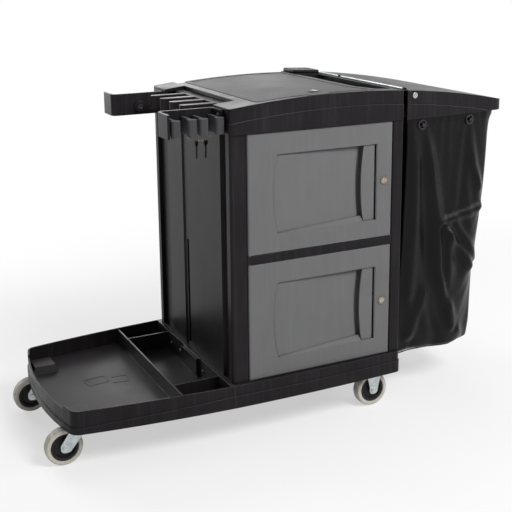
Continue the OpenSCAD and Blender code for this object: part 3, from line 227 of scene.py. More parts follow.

# %% [markdown]
# Nearly everything here is moulded plastic. Real moulded plastic has a fine spark-eroded grain,
# rounded edges that catch the light and are paler, partly from use and partly as a painted highlight,
# soft clouds in its gloss, faint streaks from wiping and handling and dust on level faces. Its corners
# are darkened as painted shade. The streaks run down upright faces and along level ones, so two
# stretched noises are mixed by the way the surface faces.

# %% Moulded plastic
CLOUD_SCALE, CLOUD_DEPTH, DUSTY_CLOUDS = 7.0, 0.16, (0.42, 0.75)
UPRIGHT_STREAKS = {"scale": 95.0, "detail": 5.0, "rough": 0.7, "stretch": (1.0, 1.0, 0.05)}
LEVEL_STREAKS = {"scale": 60.0, "detail": 6.0, "rough": 0.72, "stretch": (0.12, 1.0, 1.0)}
UPRIGHT_RANGE, LEVEL_RANGE, LEVEL_FACE = (0.48, 0.72), (0.50, 0.74), (0.6, 1.0)
# The first share is how far edges turn pale, partly from wear and partly as a painted highlight.
EDGE_WEAR_AND_HIGHLIGHT, DUST_WEAR, EVEN_WEAR = 0.5, 0.5, 0.05
STREAK_ROUGH, DUST_ROUGH, EDGE_POLISH = 0.10, 0.4, 0.08
GRAIN_SCALE, STREAK_DEPTH, PLASTIC_BUMP = 900, 0.25, (0.35, 0.0004)
# Dark tone, share and reach of the painted shade laid into corners and grooves.
PAINTED_SHADE_TONE, PAINTED_SHADE_SHARE, PAINTED_SHADE_REACH = rgb(12, 11, 11), 0.5, 0.007


def moulded(name, tone, pale, rough, grain_mm=0.7, grain=0.10, edge_mm=1.6, dust=0.25,
            gloss=0.14, wear=0.1):
    """Plastic of one tone that turns to a paler one with wear and dust, and on its edges also as a painted
    highlight.
    """
    material, s, sockets = finish(name, Specular_IOR_Level=gloss)
    at = surface_place(s)
    soft, edge = edge_light(s, edge_mm / 1000)
    clouds = noise(s, at, CLOUD_SCALE)
    drift = (clouds - 0.5) * CLOUD_DEPTH
    speckle = noise(s, at, GRAIN_SCALE / grain_mm, 2.0)
    upright_streaks = noise(s, at, **UPRIGHT_STREAKS).between(*UPRIGHT_RANGE)
    level_streaks = noise(s, at, **LEVEL_STREAKS).between(*LEVEL_RANGE)
    level = facing(s, "Z").between(*LEVEL_FACE)
    streaks = upright_streaks * (1 - level) + level_streaks * level
    settled = level * clouds.between(*DUSTY_CLOUDS) * dust
    # Edges turn to the pale tone partly from wear and partly as a painted highlight; streaks and dust are
    # wear.
    wear_and_painted_highlight = (edge * EDGE_WEAR_AND_HIGHLIGHT + streaks * wear + settled * DUST_WEAR + drift + EVEN_WEAR).clamped()
    # Corners and grooves found by ambient occlusion are darkened towards a dark tone: painted shade.
    dirt_and_painted_shade = painted_corner_shade(s, PAINTED_SHADE_REACH) * PAINTED_SHADE_SHARE
    s.plug(sockets["Base Color"], dirt_and_painted_shade.blend(wear_and_painted_highlight.blend(tone, pale), PAINTED_SHADE_TONE))
    matt = rough + drift + streaks * STREAK_ROUGH + settled * DUST_ROUGH - edge * EDGE_POLISH
    s.plug(sockets["Roughness"], matt.clamped())
    s.plug(sockets["Normal"], bump(s, *PLASTIC_BUMP, speckle * grain + streaks * STREAK_DEPTH, soft))
    return material


SATIN = {"rough": 0.50, "grain_mm": 0.8, "grain": 0.14, "dust": 0.15, "gloss": 0.06}
black_plastic = moulded("black_plastic", rgb(21, 19, 21), rgb(82, 78, 80), 0.34, gloss=0.10, wear=0.11)
grey_plastic = moulded("grey_plastic", rgb(100, 100, 101), rgb(136, 136, 137), **SATIN)
hub_plastic = moulded("hub_plastic", rgb(26, 26, 27), rgb(84, 82, 80), 0.38, edge_mm=0.9)
clip_rubber = moulded("clip_rubber", rgb(58, 58, 61), rgb(104, 104, 108), 0.62, 0.9, 0.16, dust=0.2)
lid_plastic = moulded("lid_plastic", rgb(82, 82, 83), rgb(118, 118, 119), **SATIN)
print("moulded", [m.name for m in (black_plastic, grey_plastic, hub_plastic, clip_rubber, lid_plastic)])

# %% [markdown]
# The caster treads are pale non-marking rubber. They pick up grey dirt on the running surface and
# keep a fine sanded bump. The position across the wheel isn't known to a shared material, so the
# dirt follows the surface's direction instead: it lies where the normal points away from the axle.

# %% Tread rubber
TREAD_EDGE, TREAD_BUMP, SIDE_FACE, DIRT_RANGE = 0.0015, (0.3, 0.0006), (0.2, 0.8), (0.35, 0.75)
CLEAN_TREAD, DIRTY_TREAD = rgb(190, 185, 176), rgb(128, 122, 114)


def tread_finish():
    material, s, sockets = finish("tread_rubber", Specular_IOR_Level=0.3)
    at = surface_place(s)
    soft, edge = edge_light(s, TREAD_EDGE)
    across = facing(s, "Y")
    running = 1 - (across * across).between(*SIDE_FACE)
    dirt_and_painted_shade = noise(s, at, 60.0, 6.0, 0.65).between(*DIRT_RANGE)
    grime = (running * dirt_and_painted_shade * 0.8 + dirt_and_painted_shade * 0.15 + edge * 0.1).clamped()
    s.plug(sockets["Base Color"], grime.blend(CLEAN_TREAD, DIRTY_TREAD))
    s.plug(sockets["Roughness"], (0.58 + dirt_and_painted_shade * 0.25).clamped())
    fine = noise(s, at, 700.0, 3.0)
    s.plug(sockets["Normal"], bump(s, *TREAD_BUMP, fine + dirt_and_painted_shade * 0.4, soft))
    return material


tread_rubber = tread_finish()
print("tread", tread_rubber.name)

# %% [markdown]
# Zinc-plated steel is a soft grey metal whose plating varies in patches and carries fine rolling
# marks. The plugs and pivot screws are brighter nickel, the lock barrels are tarnished brass, and the
# hidden screws, the bag's hooks and its eyelets are blackened. One function makes them all from a
# tone, a second tone and a gloss.

# %% Metals
METAL_EDGE, METAL_DEPTH, PATCH_RANGE, ROLLING = 0.0008, 0.0002, (0.35, 0.7), (1.0, 1.0, 16.0)


def plated(name, tone, second, rough, lines=0.25):
    """Metal of two tones in patches, with rolling marks as deep as lines says."""
    material, s, sockets = finish(name, Metallic=1.0)
    at = surface_place(s)
    soft, edge = edge_light(s, METAL_EDGE)
    patches = noise(s, at, 70.0, 4.0, 0.6)
    rolled = noise(s, at, 45.0, 3.0, 0.6, ROLLING)
    mixed = (patches.between(*PATCH_RANGE) * 0.7 + rolled * 0.3 - edge * 0.4).clamped()
    s.plug(sockets["Base Color"], mixed.blend(tone, second))
    s.plug(sockets["Roughness"], (rough + (patches - 0.5) * 0.22 + rolled * 0.08).clamped())
    s.plug(sockets["Normal"], bump(s, lines, METAL_DEPTH, rolled + patches * 0.5, soft))
    return material


zinc_steel = plated("zinc_steel", rgb(205, 210, 210), rgb(160, 168, 170), 0.34)
bright_steel = plated("bright_steel", rgb(196, 194, 188), rgb(150, 147, 142), 0.22, 0.1)
lock_brass = plated("lock_brass", rgb(170, 154, 136), rgb(96, 82, 70), 0.24, 0.15)
black_steel = plated("black_steel", rgb(78, 76, 78), rgb(40, 38, 40), 0.28, 0.15)
print("metals", [m.name for m in (zinc_steel, bright_steel, lock_brass, black_steel)])

# %% [markdown]
# The bag is coated nylon: a tight plain weave that shines softly along its folds. The two thread
# directions are two wave patterns over the cloth's own flat coordinates, kept in its UV map in
# metres, so that the weave bends with every fold.

# %% Coated nylon
THREAD_SCALE, CLOTH_BUMP = 320.0, (0.30, 0.0022)
CREASE_STRETCH, CREASE_RANGE = (1.0, 1.0, 0.45), (0.45, 0.75)
DEEP_NYLON, LIT_NYLON = rgb(5, 5, 6), rgb(17, 16, 19)


def nylon_finish():
    sheen = {"Sheen_Weight": 0.04, "Sheen_Roughness": 0.4}
    material, s, sockets = finish("bag_fabric", Specular_IOR_Level=0.15, **sheen)
    flat = {"Vector": s.node("ShaderNodeTexCoord", out="UV"), "Scale": THREAD_SCALE}
    at = surface_place(s)
    threads = {"wave_type": "BANDS", "wave_profile": "SIN"}
    warp = s.node("ShaderNodeTexWave", {**threads, "bands_direction": "X"}, flat, "Fac")
    weft = s.node("ShaderNodeTexWave", {**threads, "bands_direction": "Y"}, flat, "Fac")
    weave = warp * weft
    creases = noise(s, at, 22.0, 6.0, 0.62, CREASE_STRETCH)
    clouds = noise(s, at, 5.0)
    # The colour is lighter in the weave's thread pattern and in random clouds of tone, and lighter along the
    # noise creases as a painted highlight.
    lit = (weave * 0.25 + creases.between(*CREASE_RANGE) * 0.25 + (clouds - 0.4) * 0.35).clamped()
    s.plug(sockets["Base Color"], lit.blend(DEEP_NYLON, LIT_NYLON))
    s.plug(sockets["Roughness"], (0.23 + (clouds - 0.5) * 0.14 + weave * 0.06 + creases * 0.06).clamped())
    s.plug(sockets["Normal"], bump(s, *CLOTH_BUMP, creases + weave * 0.10))
    return material


bag_fabric = nylon_finish()
print("cloth", bag_fabric.name)

# %% [markdown]
# Every solid of the frame takes the finish of its slot in the record. The lid is the same grey plastic
# as the doors, of a darker batch.

# %% Finishes on the frame's solids
SHARED = (black_plastic, grey_plastic, clip_rubber, tread_rubber, hub_plastic, zinc_steel, bright_steel,
          black_steel, lock_brass, bag_fabric)
FINISHES = {material.name: material for material in SHARED}
for row in frame["record"]["subparts"]:
    solid = nodes[row["node"]]
    solid.data.materials.clear()
    solid.data.materials.append(FINISHES[row["material_slot"]])
nodes["lid"].data.materials[0] = lid_plastic
print("dressed", len(nodes), "solids")

# %% [markdown]
# The bag hangs by its hem outside the rail of the bag frame and by four eyelets on hooks. It is
# cut wider than it hangs, so it falls in long folds. The rings below loft it from the hem to the
# bottom, and a cloth simulation lets it drop with the hem and the eyelets held.

# %% Bag outline
HOOD_X0, HOOD_X1, HOOD_HW, HOOD_END_HW, HOOD_BOW, HOOD_R = 537, 903, 277, 252, 8, 40
BAG_IN, BAG_X0, BAG_TOP, BAG_LOW_TOP, BAG_BOTTOM = 17.7, 548, 859, 845, 124
EYELET_X, EYELET_Z, CORNER_LOSS = (602, 775), 820, 0.6
BAG_COLS, BAG_ROWS, BAG_CAP = 176, 72, 9


def bag_half(x):
    """Half the width of the bag's mouth at a place along it, in millimetres."""
    slope = (HOOD_HW - HOOD_END_HW) / (HOOD_X1 - HOOD_X0)
    return HOOD_HW - BAG_IN - slope * (x - HOOD_X0)


def bag_ring(count):
    """Evenly spaced points round the bag's mouth, in millimetres from the seam, and the way round."""
    end = HOOD_X1 - HOOD_BOW - BAG_IN
    r, half = HOOD_R - CORNER_LOSS * BAG_IN, bag_half(end)
    path = [(BAG_X0, 0.0), (BAG_X0, -bag_half(BAG_X0)), (end - r, -bag_half(end - r))]
    for a in np.linspace(0, math.pi / 2, 9):
        path.append((end - r + r * math.sin(a), -half + r - r * math.cos(a)))
    for y in np.linspace(r - half, 0, 10)[1:]:
        path.append((end + HOOD_BOW * (1 - (y / (half - r)) ** 2), y))
    path = np.array(path)
    path = np.vstack([path, (path * (1, -1))[-2::-1]])
    walk = np.concatenate([[0], np.cumsum(np.linalg.norm(np.diff(path, axis=0), axis=1))])
    steps = np.linspace(0, walk[-1], count + 1)[:-1]
    return np.column_stack([np.interp(steps, walk, path[:, i]) for i in (0, 1)]), walk[-1] / 1000


EYELETS = [place(x, side * bag_half(x), EYELET_Z) for x in EYELET_X for side in (-1, 1)]
mouth, mouth_length = bag_ring(BAG_COLS)
print("bag mouth", round(mouth_length, 3), "m round")

# %% [markdown]
# The long side of the bag carries creases that run from the eyelets to the far bottom corner, as in the
# photo. Each is a bent line along the cart and up, with a height and a half width in millimetres. A
# point's push is the sum of what each crease gives it, which fades with the distance from its line.

# %% Bag creases
CREASES = [
    ([(620, 800), (668, 562), (682, 390), (752, 206)], -15, 24),
    ([(588, 790), (590, 320)], 8, 22),
    ([(690, 530), (760, 545), (835, 560)], -13, 15),
    ([(700, 512), (752, 450), (812, 380)], 11, 18),
    ([(742, 520), (790, 455), (836, 395)], -10, 15),
    ([(716, 500), (722, 260), (790, 165)], 9, 20),
    ([(775, 800), (800, 680), (830, 620)], 8, 18),
    ([(640, 330), (600, 190)], -9, 20),
]
CREASE_GAIN, CREASE_NARROW = 1.35, 0.75


def limited(share):
    """A share that stays between 0 and 1."""
    return min(1.0, max(0.0, share))


def off_line(line, spot):
    """The distance from a spot to the nearest part of a bent line."""
    gaps = []
    for start, end in zip(line, line[1:]):
        start, way = Vector(start), Vector(end) - Vector(start)
        share = limited((spot - start).dot(way) / way.length_squared)
        gaps.append((start + way * share - spot).length)
    return min(gaps)


def crease_out(x, z):
    """How far the creases push the cloth out at a place on the long side."""
    total = 0.0
    for line, height, half in CREASES:
        near = off_line(line, Vector((x, z)))
        total += CREASE_GAIN * height * math.exp(-(near / (CREASE_NARROW * half)) ** 2)
    return total


print("creases", len(CREASES), "deepest", round(CREASE_GAIN * max(abs(row[1]) for row in CREASES), 1), "mm")

# %% [markdown]
# The loft narrows towards the bottom, as the real bag does. Two long waves run round it and twist on
# the way down: these are the main folds, and the solid in the source has them too. Three finer
# ripples tell the simulation where the small creases should start. Nothing is left to chance, so
# each run gives the same bag.

# %% Bag loft
# Share of the way down, then the bag's length and width there as shares of the mouth's.
LEVELS = np.array([
    [0, 1, 1], [0.03, 1, 1], [0.07, 0.968, 1], [0.12, 0.955, 1], [0.22, 0.945, 0.995], [0.36, 0.935, 0.985],
    [0.5, 0.925, 0.97], [0.64, 0.918, 0.945], [0.78, 0.912, 0.915], [0.9, 0.908, 0.885], [0.97, 0.895, 0.855],
    [1, 0.87, 0.81],
])
# Waves in one turn, start and twist in degrees, and share of the fold's depth.
WAVES = [(5, 30, 120, 0.55), (7, 80, -160, 0.45)]
RIPPLES = [(13, 20, 420, 0.16), (17, 140, -520, 0.14), (23, 70, 300, 0.08)]
FOLD, FOLD_FROM, FOLD_GROWTH, BAG_MID = 12.0, 0.1, 2.5, (BAG_X0 + HOOD_X1) / 2
HEM_FADE, HEM_CLEAR, SIDE_FADE, SIDE_CLEAR = 8, 0.7, 150, 0.6
FAR_SIDE_TURN, BAG_CUT, BOTTOM_SAG, CAP_APART = 1410, 0.735, 0.006, 1.0


def bag_wall():
    """Rings of points from the hem to the bottom seam, and their places on the flat cloth."""
    verts, uvs = [], []
    angle = np.degrees(np.arctan2(mouth[:, 1], mouth[:, 0] - BAG_MID))
    for row in range(BAG_ROWS):
        t = row / (BAG_ROWS - 1)
        long, wide = (np.interp(t, LEVELS[:, 0], LEVELS[:, i]) for i in (1, 2))
        swell = sum(share * np.sin(np.radians(n * angle + start + twist * t))
                    for n, start, twist, share in WAVES + RIPPLES)
        swell = swell * FOLD * limited((t - FOLD_FROM) * FOLD_GROWTH)
        below_hem = limited(t * HEM_FADE - HEM_CLEAR)
        for i, (x, y) in enumerate(mouth):
            top = BAG_LOW_TOP if x < BAG_X0 + 1 else BAG_TOP
            turn = math.radians(angle[i])
            px = max(BAG_X0 + (x - BAG_X0) * long + swell[i] * math.cos(turn), BAG_X0 - FOLD / 3)
            pz = top + (BAG_BOTTOM - top) * t
            on_side = limited(abs(y) / SIDE_FADE - SIDE_CLEAR)
            pushed = crease_out(px if y < 0 else FAR_SIDE_TURN - px, pz) * on_side * below_hem
            py = y * wide + swell[i] * math.sin(turn) + math.copysign(pushed, y)
            verts.append(place(px, py, pz))
            uvs.append((mouth_length * i / BAG_COLS, BAG_CUT * (1 - t)))
    return verts, uvs


def bag_mesh():
    """The wall, closed at the bottom by rings that shrink to one sagging point."""
    verts, uvs = bag_wall()
    faces = []
    last = (BAG_ROWS - 1) * BAG_COLS
    centre = sum((verts[last + i] for i in range(BAG_COLS)), Vector()) / BAG_COLS
    for ring in range(1, BAG_CAP):
        sag = BOTTOM_SAG * math.sin(math.pi / 2 * ring / BAG_CAP)
        for i in range(BAG_COLS):
            p = verts[last + i].lerp(centre, ring / BAG_CAP)
            verts.append(p - Vector((0, 0, sag)))
            uvs.append((p.x, p.y - CAP_APART))
    verts.append(centre - Vector((0, 0, BOTTOM_SAG)))
    uvs.append((centre.x, centre.y - CAP_APART))
    for row in range(BAG_ROWS + BAG_CAP - 2):
        for i in range(BAG_COLS):
            a, b = row * BAG_COLS + i, row * BAG_COLS + (i + 1) % BAG_COLS
            faces.append((a, a + BAG_COLS, b + BAG_COLS, b))
    inner = (BAG_ROWS + BAG_CAP - 2) * BAG_COLS
    faces += [(inner + i, len(verts) - 1, inner + (i + 1) % BAG_COLS) for i in range(BAG_COLS)]
    mesh = bpy.data.meshes.new("waste_bag")
    mesh.from_pydata(verts, [], faces)
    layer = mesh.uv_layers.new(name="cut")
    for loop in mesh.loops:
        layer.data[loop.index].uv = uvs[loop.vertex_index]
    return mesh


def add(name, mesh, material, body="cart"):
    """A new piece that rides on a body and has a finish that is also a slot of the record."""
    piece = bpy.data.objects.new(name, mesh)
    scene.collection.objects.link(piece)
    piece.data.materials.clear()
    piece.data.materials.append(material)
    for face in piece.data.polygons:
        face.use_smooth = True
    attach(piece, body)
    return piece


bag = add("waste_bag", bag_mesh(), bag_fabric)
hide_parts("bag")
print("bag loft", len(bag.data.vertices), "points")

# %% [markdown]
# The simulation holds the hem, the bottom and a small patch round each eyelet, and lets the cloth grow
# by a few hundredths, which is the fullness that turns into folds. A plain wall stands in for the end
# of the cabinet so that the bag leans on it. Afterwards the result is taken as a mesh, and the
# Cloth modifier and the wall are gone. The coated cloth is stiff and keeps its creases, so each point
# goes only part of the way to where the simulation puts it.

# %% Bag simulation
EYELET_HOLD, HEM_ROWS, FRAMES, GROWTH, STIFF, KEPT = 0.020, 2, 36, 0.045, 18, 0.6
WALL_LOW, WALL_HIGH = place(520, -300, 60), place(535, 300, 850)
WALL_FACES = [(0, 1, 3, 2), (4, 6, 7, 5), (0, 4, 5, 1), (2, 3, 7, 6), (0, 2, 6, 4), (1, 5, 7, 3)]
held = bag.vertex_groups.new(name="held")
for v in bag.data.vertices:
    at_eyelet = min((v.co - e).length for e in EYELETS) < EYELET_HOLD
    at_bottom = (BAG_ROWS - 1) * BAG_COLS <= v.index
    if v.index < HEM_ROWS * BAG_COLS or at_eyelet or at_bottom:
        held.add([v.index], 1.0, "REPLACE")


def as_mesh(piece):
    """The mesh of a piece with its modifiers worked in."""
    return bpy.data.meshes.new_from_object(piece.evaluated_get(bpy.context.evaluated_depsgraph_get()))


def drop_bag():
    wall = bpy.data.objects.new("wall", bpy.data.meshes.new("wall"))
    sides = list(zip(WALL_LOW, WALL_HIGH))
    corners = [(x, y, z) for x in sides[0] for y in sides[1] for z in sides[2]]
    wall.data.from_pydata(corners, [], WALL_FACES)
    scene.collection.objects.link(wall)
    wall.modifiers.new("stop", "COLLISION")
    cloth = bag.modifiers.new("drop", "CLOTH")
    now = cloth.settings
    now.quality, now.mass, now.air_damping = 6, 0.25, 1.2
    now.tension_stiffness = now.compression_stiffness = STIFF
    now.shear_stiffness, now.bending_stiffness = STIFF / 3, 0.4
    now.vertex_group_mass = "held"
    now.shrink_min = -GROWTH
    cloth.collision_settings.distance_min = 0.003
    for step in range(1, FRAMES + 1):
        scene.frame_set(step)
    fallen = as_mesh(bag)
    bag.modifiers.clear()
    bag.data = fallen
    bpy.data.objects.remove(wall)
    scene.frame_set(1)


loft = np.array([v.co for v in bag.data.vertices])
drop_bag()
for v, before in zip(bag.data.vertices, loft):
    v.co = v.co.lerp(Vector(before), KEPT)
settled = np.array([v.co for v in bag.data.vertices])
moved = np.linalg.norm(settled - loft, axis=1) * 1000
print("bag settled by", round(moved.mean(), 1), "mm on average,", round(moved.max(), 1), "at most")
print("bag hangs from", round(settled[:, 2].max(), 3), "to", round(settled[:, 2].min(), 3))

# %% [markdown]
# The sewing follows the fallen cloth: two rows of short stitches along the hem and a piping round the
# bottom seam. A tube along a list of points makes them all, with a ring of points at each step.


# %% Tubes
def tube(points, radius, closed=False, sides=8):
    """Points and faces of a round tube along a path, with flat caps when it is open."""
    path = [Vector(q) for q in points]
    n = len(path)
    verts, faces, side = [], [], None
    for i, q in enumerate(path):
        back = path[i - 1] if i or closed else q
        way = (path[(i + 1) % n] if i < n - 1 or closed else q) - back
        way.normalize()
        if side is None:
            side = way.orthogonal()
        side = (side - way * side.dot(way)).normalized()
        over = way.cross(side)
        for a in np.linspace(0, 2 * math.pi, sides + 1)[:-1]:
            verts.append(q + radius * (math.cos(a) * side + math.sin(a) * over))
    for i in range(n if closed else n - 1):
        a, b = i * sides, (i + 1) % n * sides
        faces += [(a + k, a + (k + 1) % sides, b + (k + 1) % sides, b + k) for k in range(sides)]
    if not closed:
        faces += [tuple(range(sides))[::-1], tuple(range((n - 1) * sides, n * sides))]
    return verts, faces


def stacked(count, n):
    """Faces between rings of n points that lie on each other, with the first and last ring closed."""
    faces = []
    for k in range(count - 1):
        a, b = k * n, (k + 1) * n
        faces += [(a + i, a + (i + 1) % n, b + (i + 1) % n, b + i) for i in range(n)]
    return faces + [tuple(range(n))[::-1], tuple(range((count - 1) * n, count * n))]


def joined(name, shapes):
    """One mesh made of several lists of points and faces."""
    verts, faces = [], []
    for points, sides in shapes:
        faces += [tuple(len(verts) + k for k in f) for f in sides]
        verts += points
    mesh = bpy.data.meshes.new(name)
    mesh.from_pydata(verts, [], faces)
    return mesh


def bag_row(row, outward):
    """Points round the fallen bag at one of its rows, moved out of the cloth."""
    first = row * BAG_COLS
    return [v.co + outward * v.normal for v in bag.data.vertices[first:first + BAG_COLS]]


STITCH_ROW, STITCH, STITCH_R, STITCH_OUT, PER_STEP = 3, 0.0032, 0.00035, 0.0016, 2
ROW_DROPS, PIPING_R, PIPING_OUT = (0.0, -0.006), 0.0017, 0.001
dashes = []
for drop in ROW_DROPS:
    ring = [q + Vector((0, 0, drop)) for q in bag_row(STITCH_ROW, STITCH_OUT)]
    for i, q in enumerate(ring):
        after = ring[(i + 1) % BAG_COLS]
        half = (after - q).normalized() * STITCH / 2
        for k in range(PER_STEP):
            at = q.lerp(after, (k + 0.5) / PER_STEP)
            dashes.append(tube([at - half, at, at + half], STITCH_R, sides=6))
add("hem_stitches", joined("hem_stitches", dashes), bag_fabric)
seam = tube(bag_row(BAG_ROWS - 1, PIPING_OUT), PIPING_R, True)
add("bottom_piping", joined("bottom_piping", [seam]), bag_fabric)
print("stitches", len(dashes))

# %% [markdown]
# One subdivision smooths the folds, the eyelet holes are opened, and the cloth gets a real
# thickness. The hem is the cloth turned over once: the top strip stands out by one more layer.

# %% Bag cloth
EYELET_HOLE, CLOTH_T, HEM_Z, HEM_OUT = 0.0112, 0.0014, 0.826, 0.0012
fine = bag.modifiers.new("fine", "SUBSURF")
fine.levels = fine.render_levels = 1
bag.data = as_mesh(bag)
bag.modifiers.clear()
bag.vertex_groups.clear()
work = bmesh.new()
work.from_mesh(bag.data)
gone = [f for f in work.faces if min((f.calc_center_median() - e).length for e in EYELETS) < EYELET_HOLE]
bmesh.ops.delete(work, geom=gone, context="FACES")
for v in work.verts:
    if v.co.z > HEM_Z:
        v.co += v.normal * HEM_OUT
work.to_mesh(bag.data)
work.free()
for face in bag.data.polygons:
    face.use_smooth = True
thick = bag.modifiers.new("thick", "SOLIDIFY")
thick.thickness, thick.offset = CLOTH_T, -1.0

# %% [markdown]
# The lower wall of each door's recess is moulded as a slope that widens towards the grip. It faces up,
# so it catches the light and shows how deep the recess gets. The solid has the recess with a square
# lower wall, and this ledge lies in that corner. A narrow strip does the same beside the grip.

# %% Recess ledges
PAN_X0, PAN_EDGE, PAN_Z0, PAN_H, GRIP_EDGE, GRIP_BULGE = 87, 47, 50, 214, 98, 9
PAN_STEP, PAN_END, LEDGE_LOW, LEDGE_RISE, LEDGE_STEPS = 3.5, 14, 1.5, 15, 16
LEDGE_FROM, LEDGE_INTO, LEDGE_FACE, LEDGE_LIP, LEDGE_BACK = 4, 0.7, 0.5, 0.8, 0.94
STRIP_FACE, STRIP_W, STRIP_GAP = 0.4, 3.4, 2


def recess_ledge(lo, hi):
    """A tapered bar in the lower corner of a recess, from the door's lowest and highest corners."""
    start = PAN_X0 + LEDGE_FROM
    end = (hi[0] - lo[0]) * 1000 - GRIP_EDGE + LEDGE_INTO * GRIP_BULGE
    verts = []
    for k in range(LEDGE_STEPS + 1):
        share = k / LEDGE_STEPS
        deep = PAN_STEP + (PAN_END - PAN_STEP) * share
        rise = LEDGE_LOW + (LEDGE_RISE - LEDGE_LOW) * share
        along = start + (end - start) * share
        section = ((LEDGE_FACE, 0.0), (deep, 0.0), (deep, rise), (deep * LEDGE_BACK, rise),
                   (LEDGE_FACE, LEDGE_LIP))
        verts += [Vector(lo) + Vector((along, y, PAN_Z0 + z)) / 1000 for y, z in section]
    return verts, stacked(LEDGE_STEPS + 1, len(section))


def grip_slope(lo, hi):
    """A three-sided strip that turns the square step at the grip's outer side into a slope."""
    side = (hi[0] - lo[0]) * 1000 - PAN_EDGE
    section = ((side, STRIP_FACE), (side, PAN_STEP), (side - STRIP_W, PAN_STEP))
    ends = (PAN_Z0 + STRIP_GAP, PAN_Z0 + PAN_H - STRIP_GAP)
    verts = [Vector(lo) + Vector((x, y, z)) / 1000 for z in ends for x, y in section]
    return verts, stacked(len(ends), len(section))


for door in ("lower_door", "upper_door"):
    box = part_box(door + "_skin")
    shapes = [recess_ledge(*box), grip_slope(*box)]
    ledge = add(door + "_ledge", joined(door + "_ledge", shapes), grey_plastic, door)
    for face in ledge.data.polygons:
        face.use_smooth = False
print("ledges rise to", LEDGE_RISE, "mm")

# %% [markdown]
# A bright rod is let into the hood's edge next to the cabinet, with three black sleeves on it, and shows
# as one thin light line. Behind the open tray the rear corner of the top is raised a little, as a rest.
# Both follow the crown of the solid under them: a ray from above finds its height at each place.

# %% Hood rod and rear rest
ABOVE_ALL, ROD_POINTS, SLEEVE_AT, SLEEVE_SIZE = 1300, 45, (0, 30, 43), 1.5
ROD_X, ROD_END, ROD_R, ROD_LIFT = HOOD_X0 + 6, HOOD_HW - 22, 0.0026, Vector((0, 0, 0.0004))
REST_X, REST_Y, REST_CORNER, CORNER_POINTS = (433, 525), (190, 268), 9, 7
REST_LEVELS = ((0, -1), (0, 9), (0.6, 10.4), (1.8, 11.4), (3.6, 11.8))


def on_top(node, x, y):
    """The point of a solid's upper side above a place given from the seam."""
    found, point, _, _ = nodes[node].ray_cast(place(x, y, ABOVE_ALL), Vector((0, 0, -1)))
    assert found, (node, x, y)
    return point


def raised_pad(node, across, along, corner, levels):
    """A low pad with round corners on a solid, from (inset, height) pairs in millimetres."""
    (x0, x1), (y0, y1) = across, along
    centres = ((x1 - corner, y1 - corner), (x0 + corner, y1 - corner),
               (x0 + corner, y0 + corner), (x1 - corner, y0 + corner))
    verts = []
    for inset, height in levels:
        r = corner - inset
        for quarter, (cx, cy) in enumerate(centres):
            for a in np.radians(np.linspace(90 * quarter, 90 * quarter + 90, CORNER_POINTS)):
                foot = on_top(node, cx + r * math.cos(a), cy + r * math.sin(a))
                verts.append(foot + Vector((0, 0, height / 1000)))
    return verts, stacked(len(levels), len(verts) // len(levels))


rod_line = [on_top("hood", ROD_X, y) + ROD_LIFT for y in np.linspace(-ROD_END, ROD_END, ROD_POINTS)]
add("hood_rod", joined("hood_rod", [tube(rod_line, ROD_R, sides=12)]), zinc_steel, "hood")
sleeves = [tube([rod_line[k], rod_line[k + 1]], ROD_R * SLEEVE_SIZE, sides=12) for k in SLEEVE_AT]
add("rod_sleeves", joined("rod_sleeves", sleeves), black_plastic, "hood")
pad = raised_pad("top_shell", REST_X, REST_Y, REST_CORNER, REST_LEVELS)
rest = add("rear_rest", joined("rear_rest", [pad]), black_plastic)
rest.data.polygons[-1].use_smooth = False
print("rod points", len(rod_line), "rest faces", len(pad[1]))

# %% [markdown]
# Two small dark keys hang on a brass wire that is hooked into the undersides of two clips. Each key is
# a flat blade with cut teeth and a round bow with a hole.

# %% Keys
KEY_Y, WIRE_Z, JAW_Z, WIRE_R, KEY_T, KEY_DROP = -205, 826, 845, 0.0009, 0.0018, 2
WIRE_LINE = ((-88, JAW_Z), (-87, 836), (-82, 829), (-74, WIRE_Z), (-55, 825), (-36, WIRE_Z), (-28, 829),
             (-24, 836), (-23, JAW_Z))
KEY_TURNS = ((-63, 38), (-38, 22))
BOW_R, BOW_DROP, HOLE_R, BLADE_HALF, TOOTH, TOOTH_STEP = 0.0085, 0.0055, 0.0022, 0.0032, 0.0012, 0.0032


def plate(outline, hole, thick):
    """A flat plate with a hole, standing in the XZ plane, from two outlines with equally many points."""
    n = len(outline)
    verts = [Vector((x, y, z)) for y in (-thick / 2, thick / 2) for ring in (outline, hole) for x, z in ring]
    faces = []
    for i in range(n):
        k = (i + 1) % n
        faces += [(i, k, n + k, n + i), (2 * n + i, 3 * n + i, 3 * n + k, 2 * n + k)]
        faces += [(i, 2 * n + i, 2 * n + k, k), (n + i, n + k, 3 * n + k, 3 * n + i)]
    return verts, faces


def key_outline():
    """A key that hangs from the origin: a round bow, then a blade with teeth on one side."""
    turns = np.radians(np.linspace(203, 517, 25))
    bow = [(BOW_R * math.sin(a), BOW_R * math.cos(a) - BOW_DROP) for a in turns]
    teeth = [(BLADE_HALF - TOOTH * (k % 2), -0.017 - TOOTH_STEP * k) for k in range(9)]
    return bow + teeth + [(0.0, -0.0465), (-BLADE_HALF, -0.044)]


def turned(points, spin, at):
    """Points turned about the upright axis and then moved."""
    move = Matrix.Translation(at) @ Matrix.Rotation(math.radians(spin), 4, "Z")
    return [move @ q for q in points]


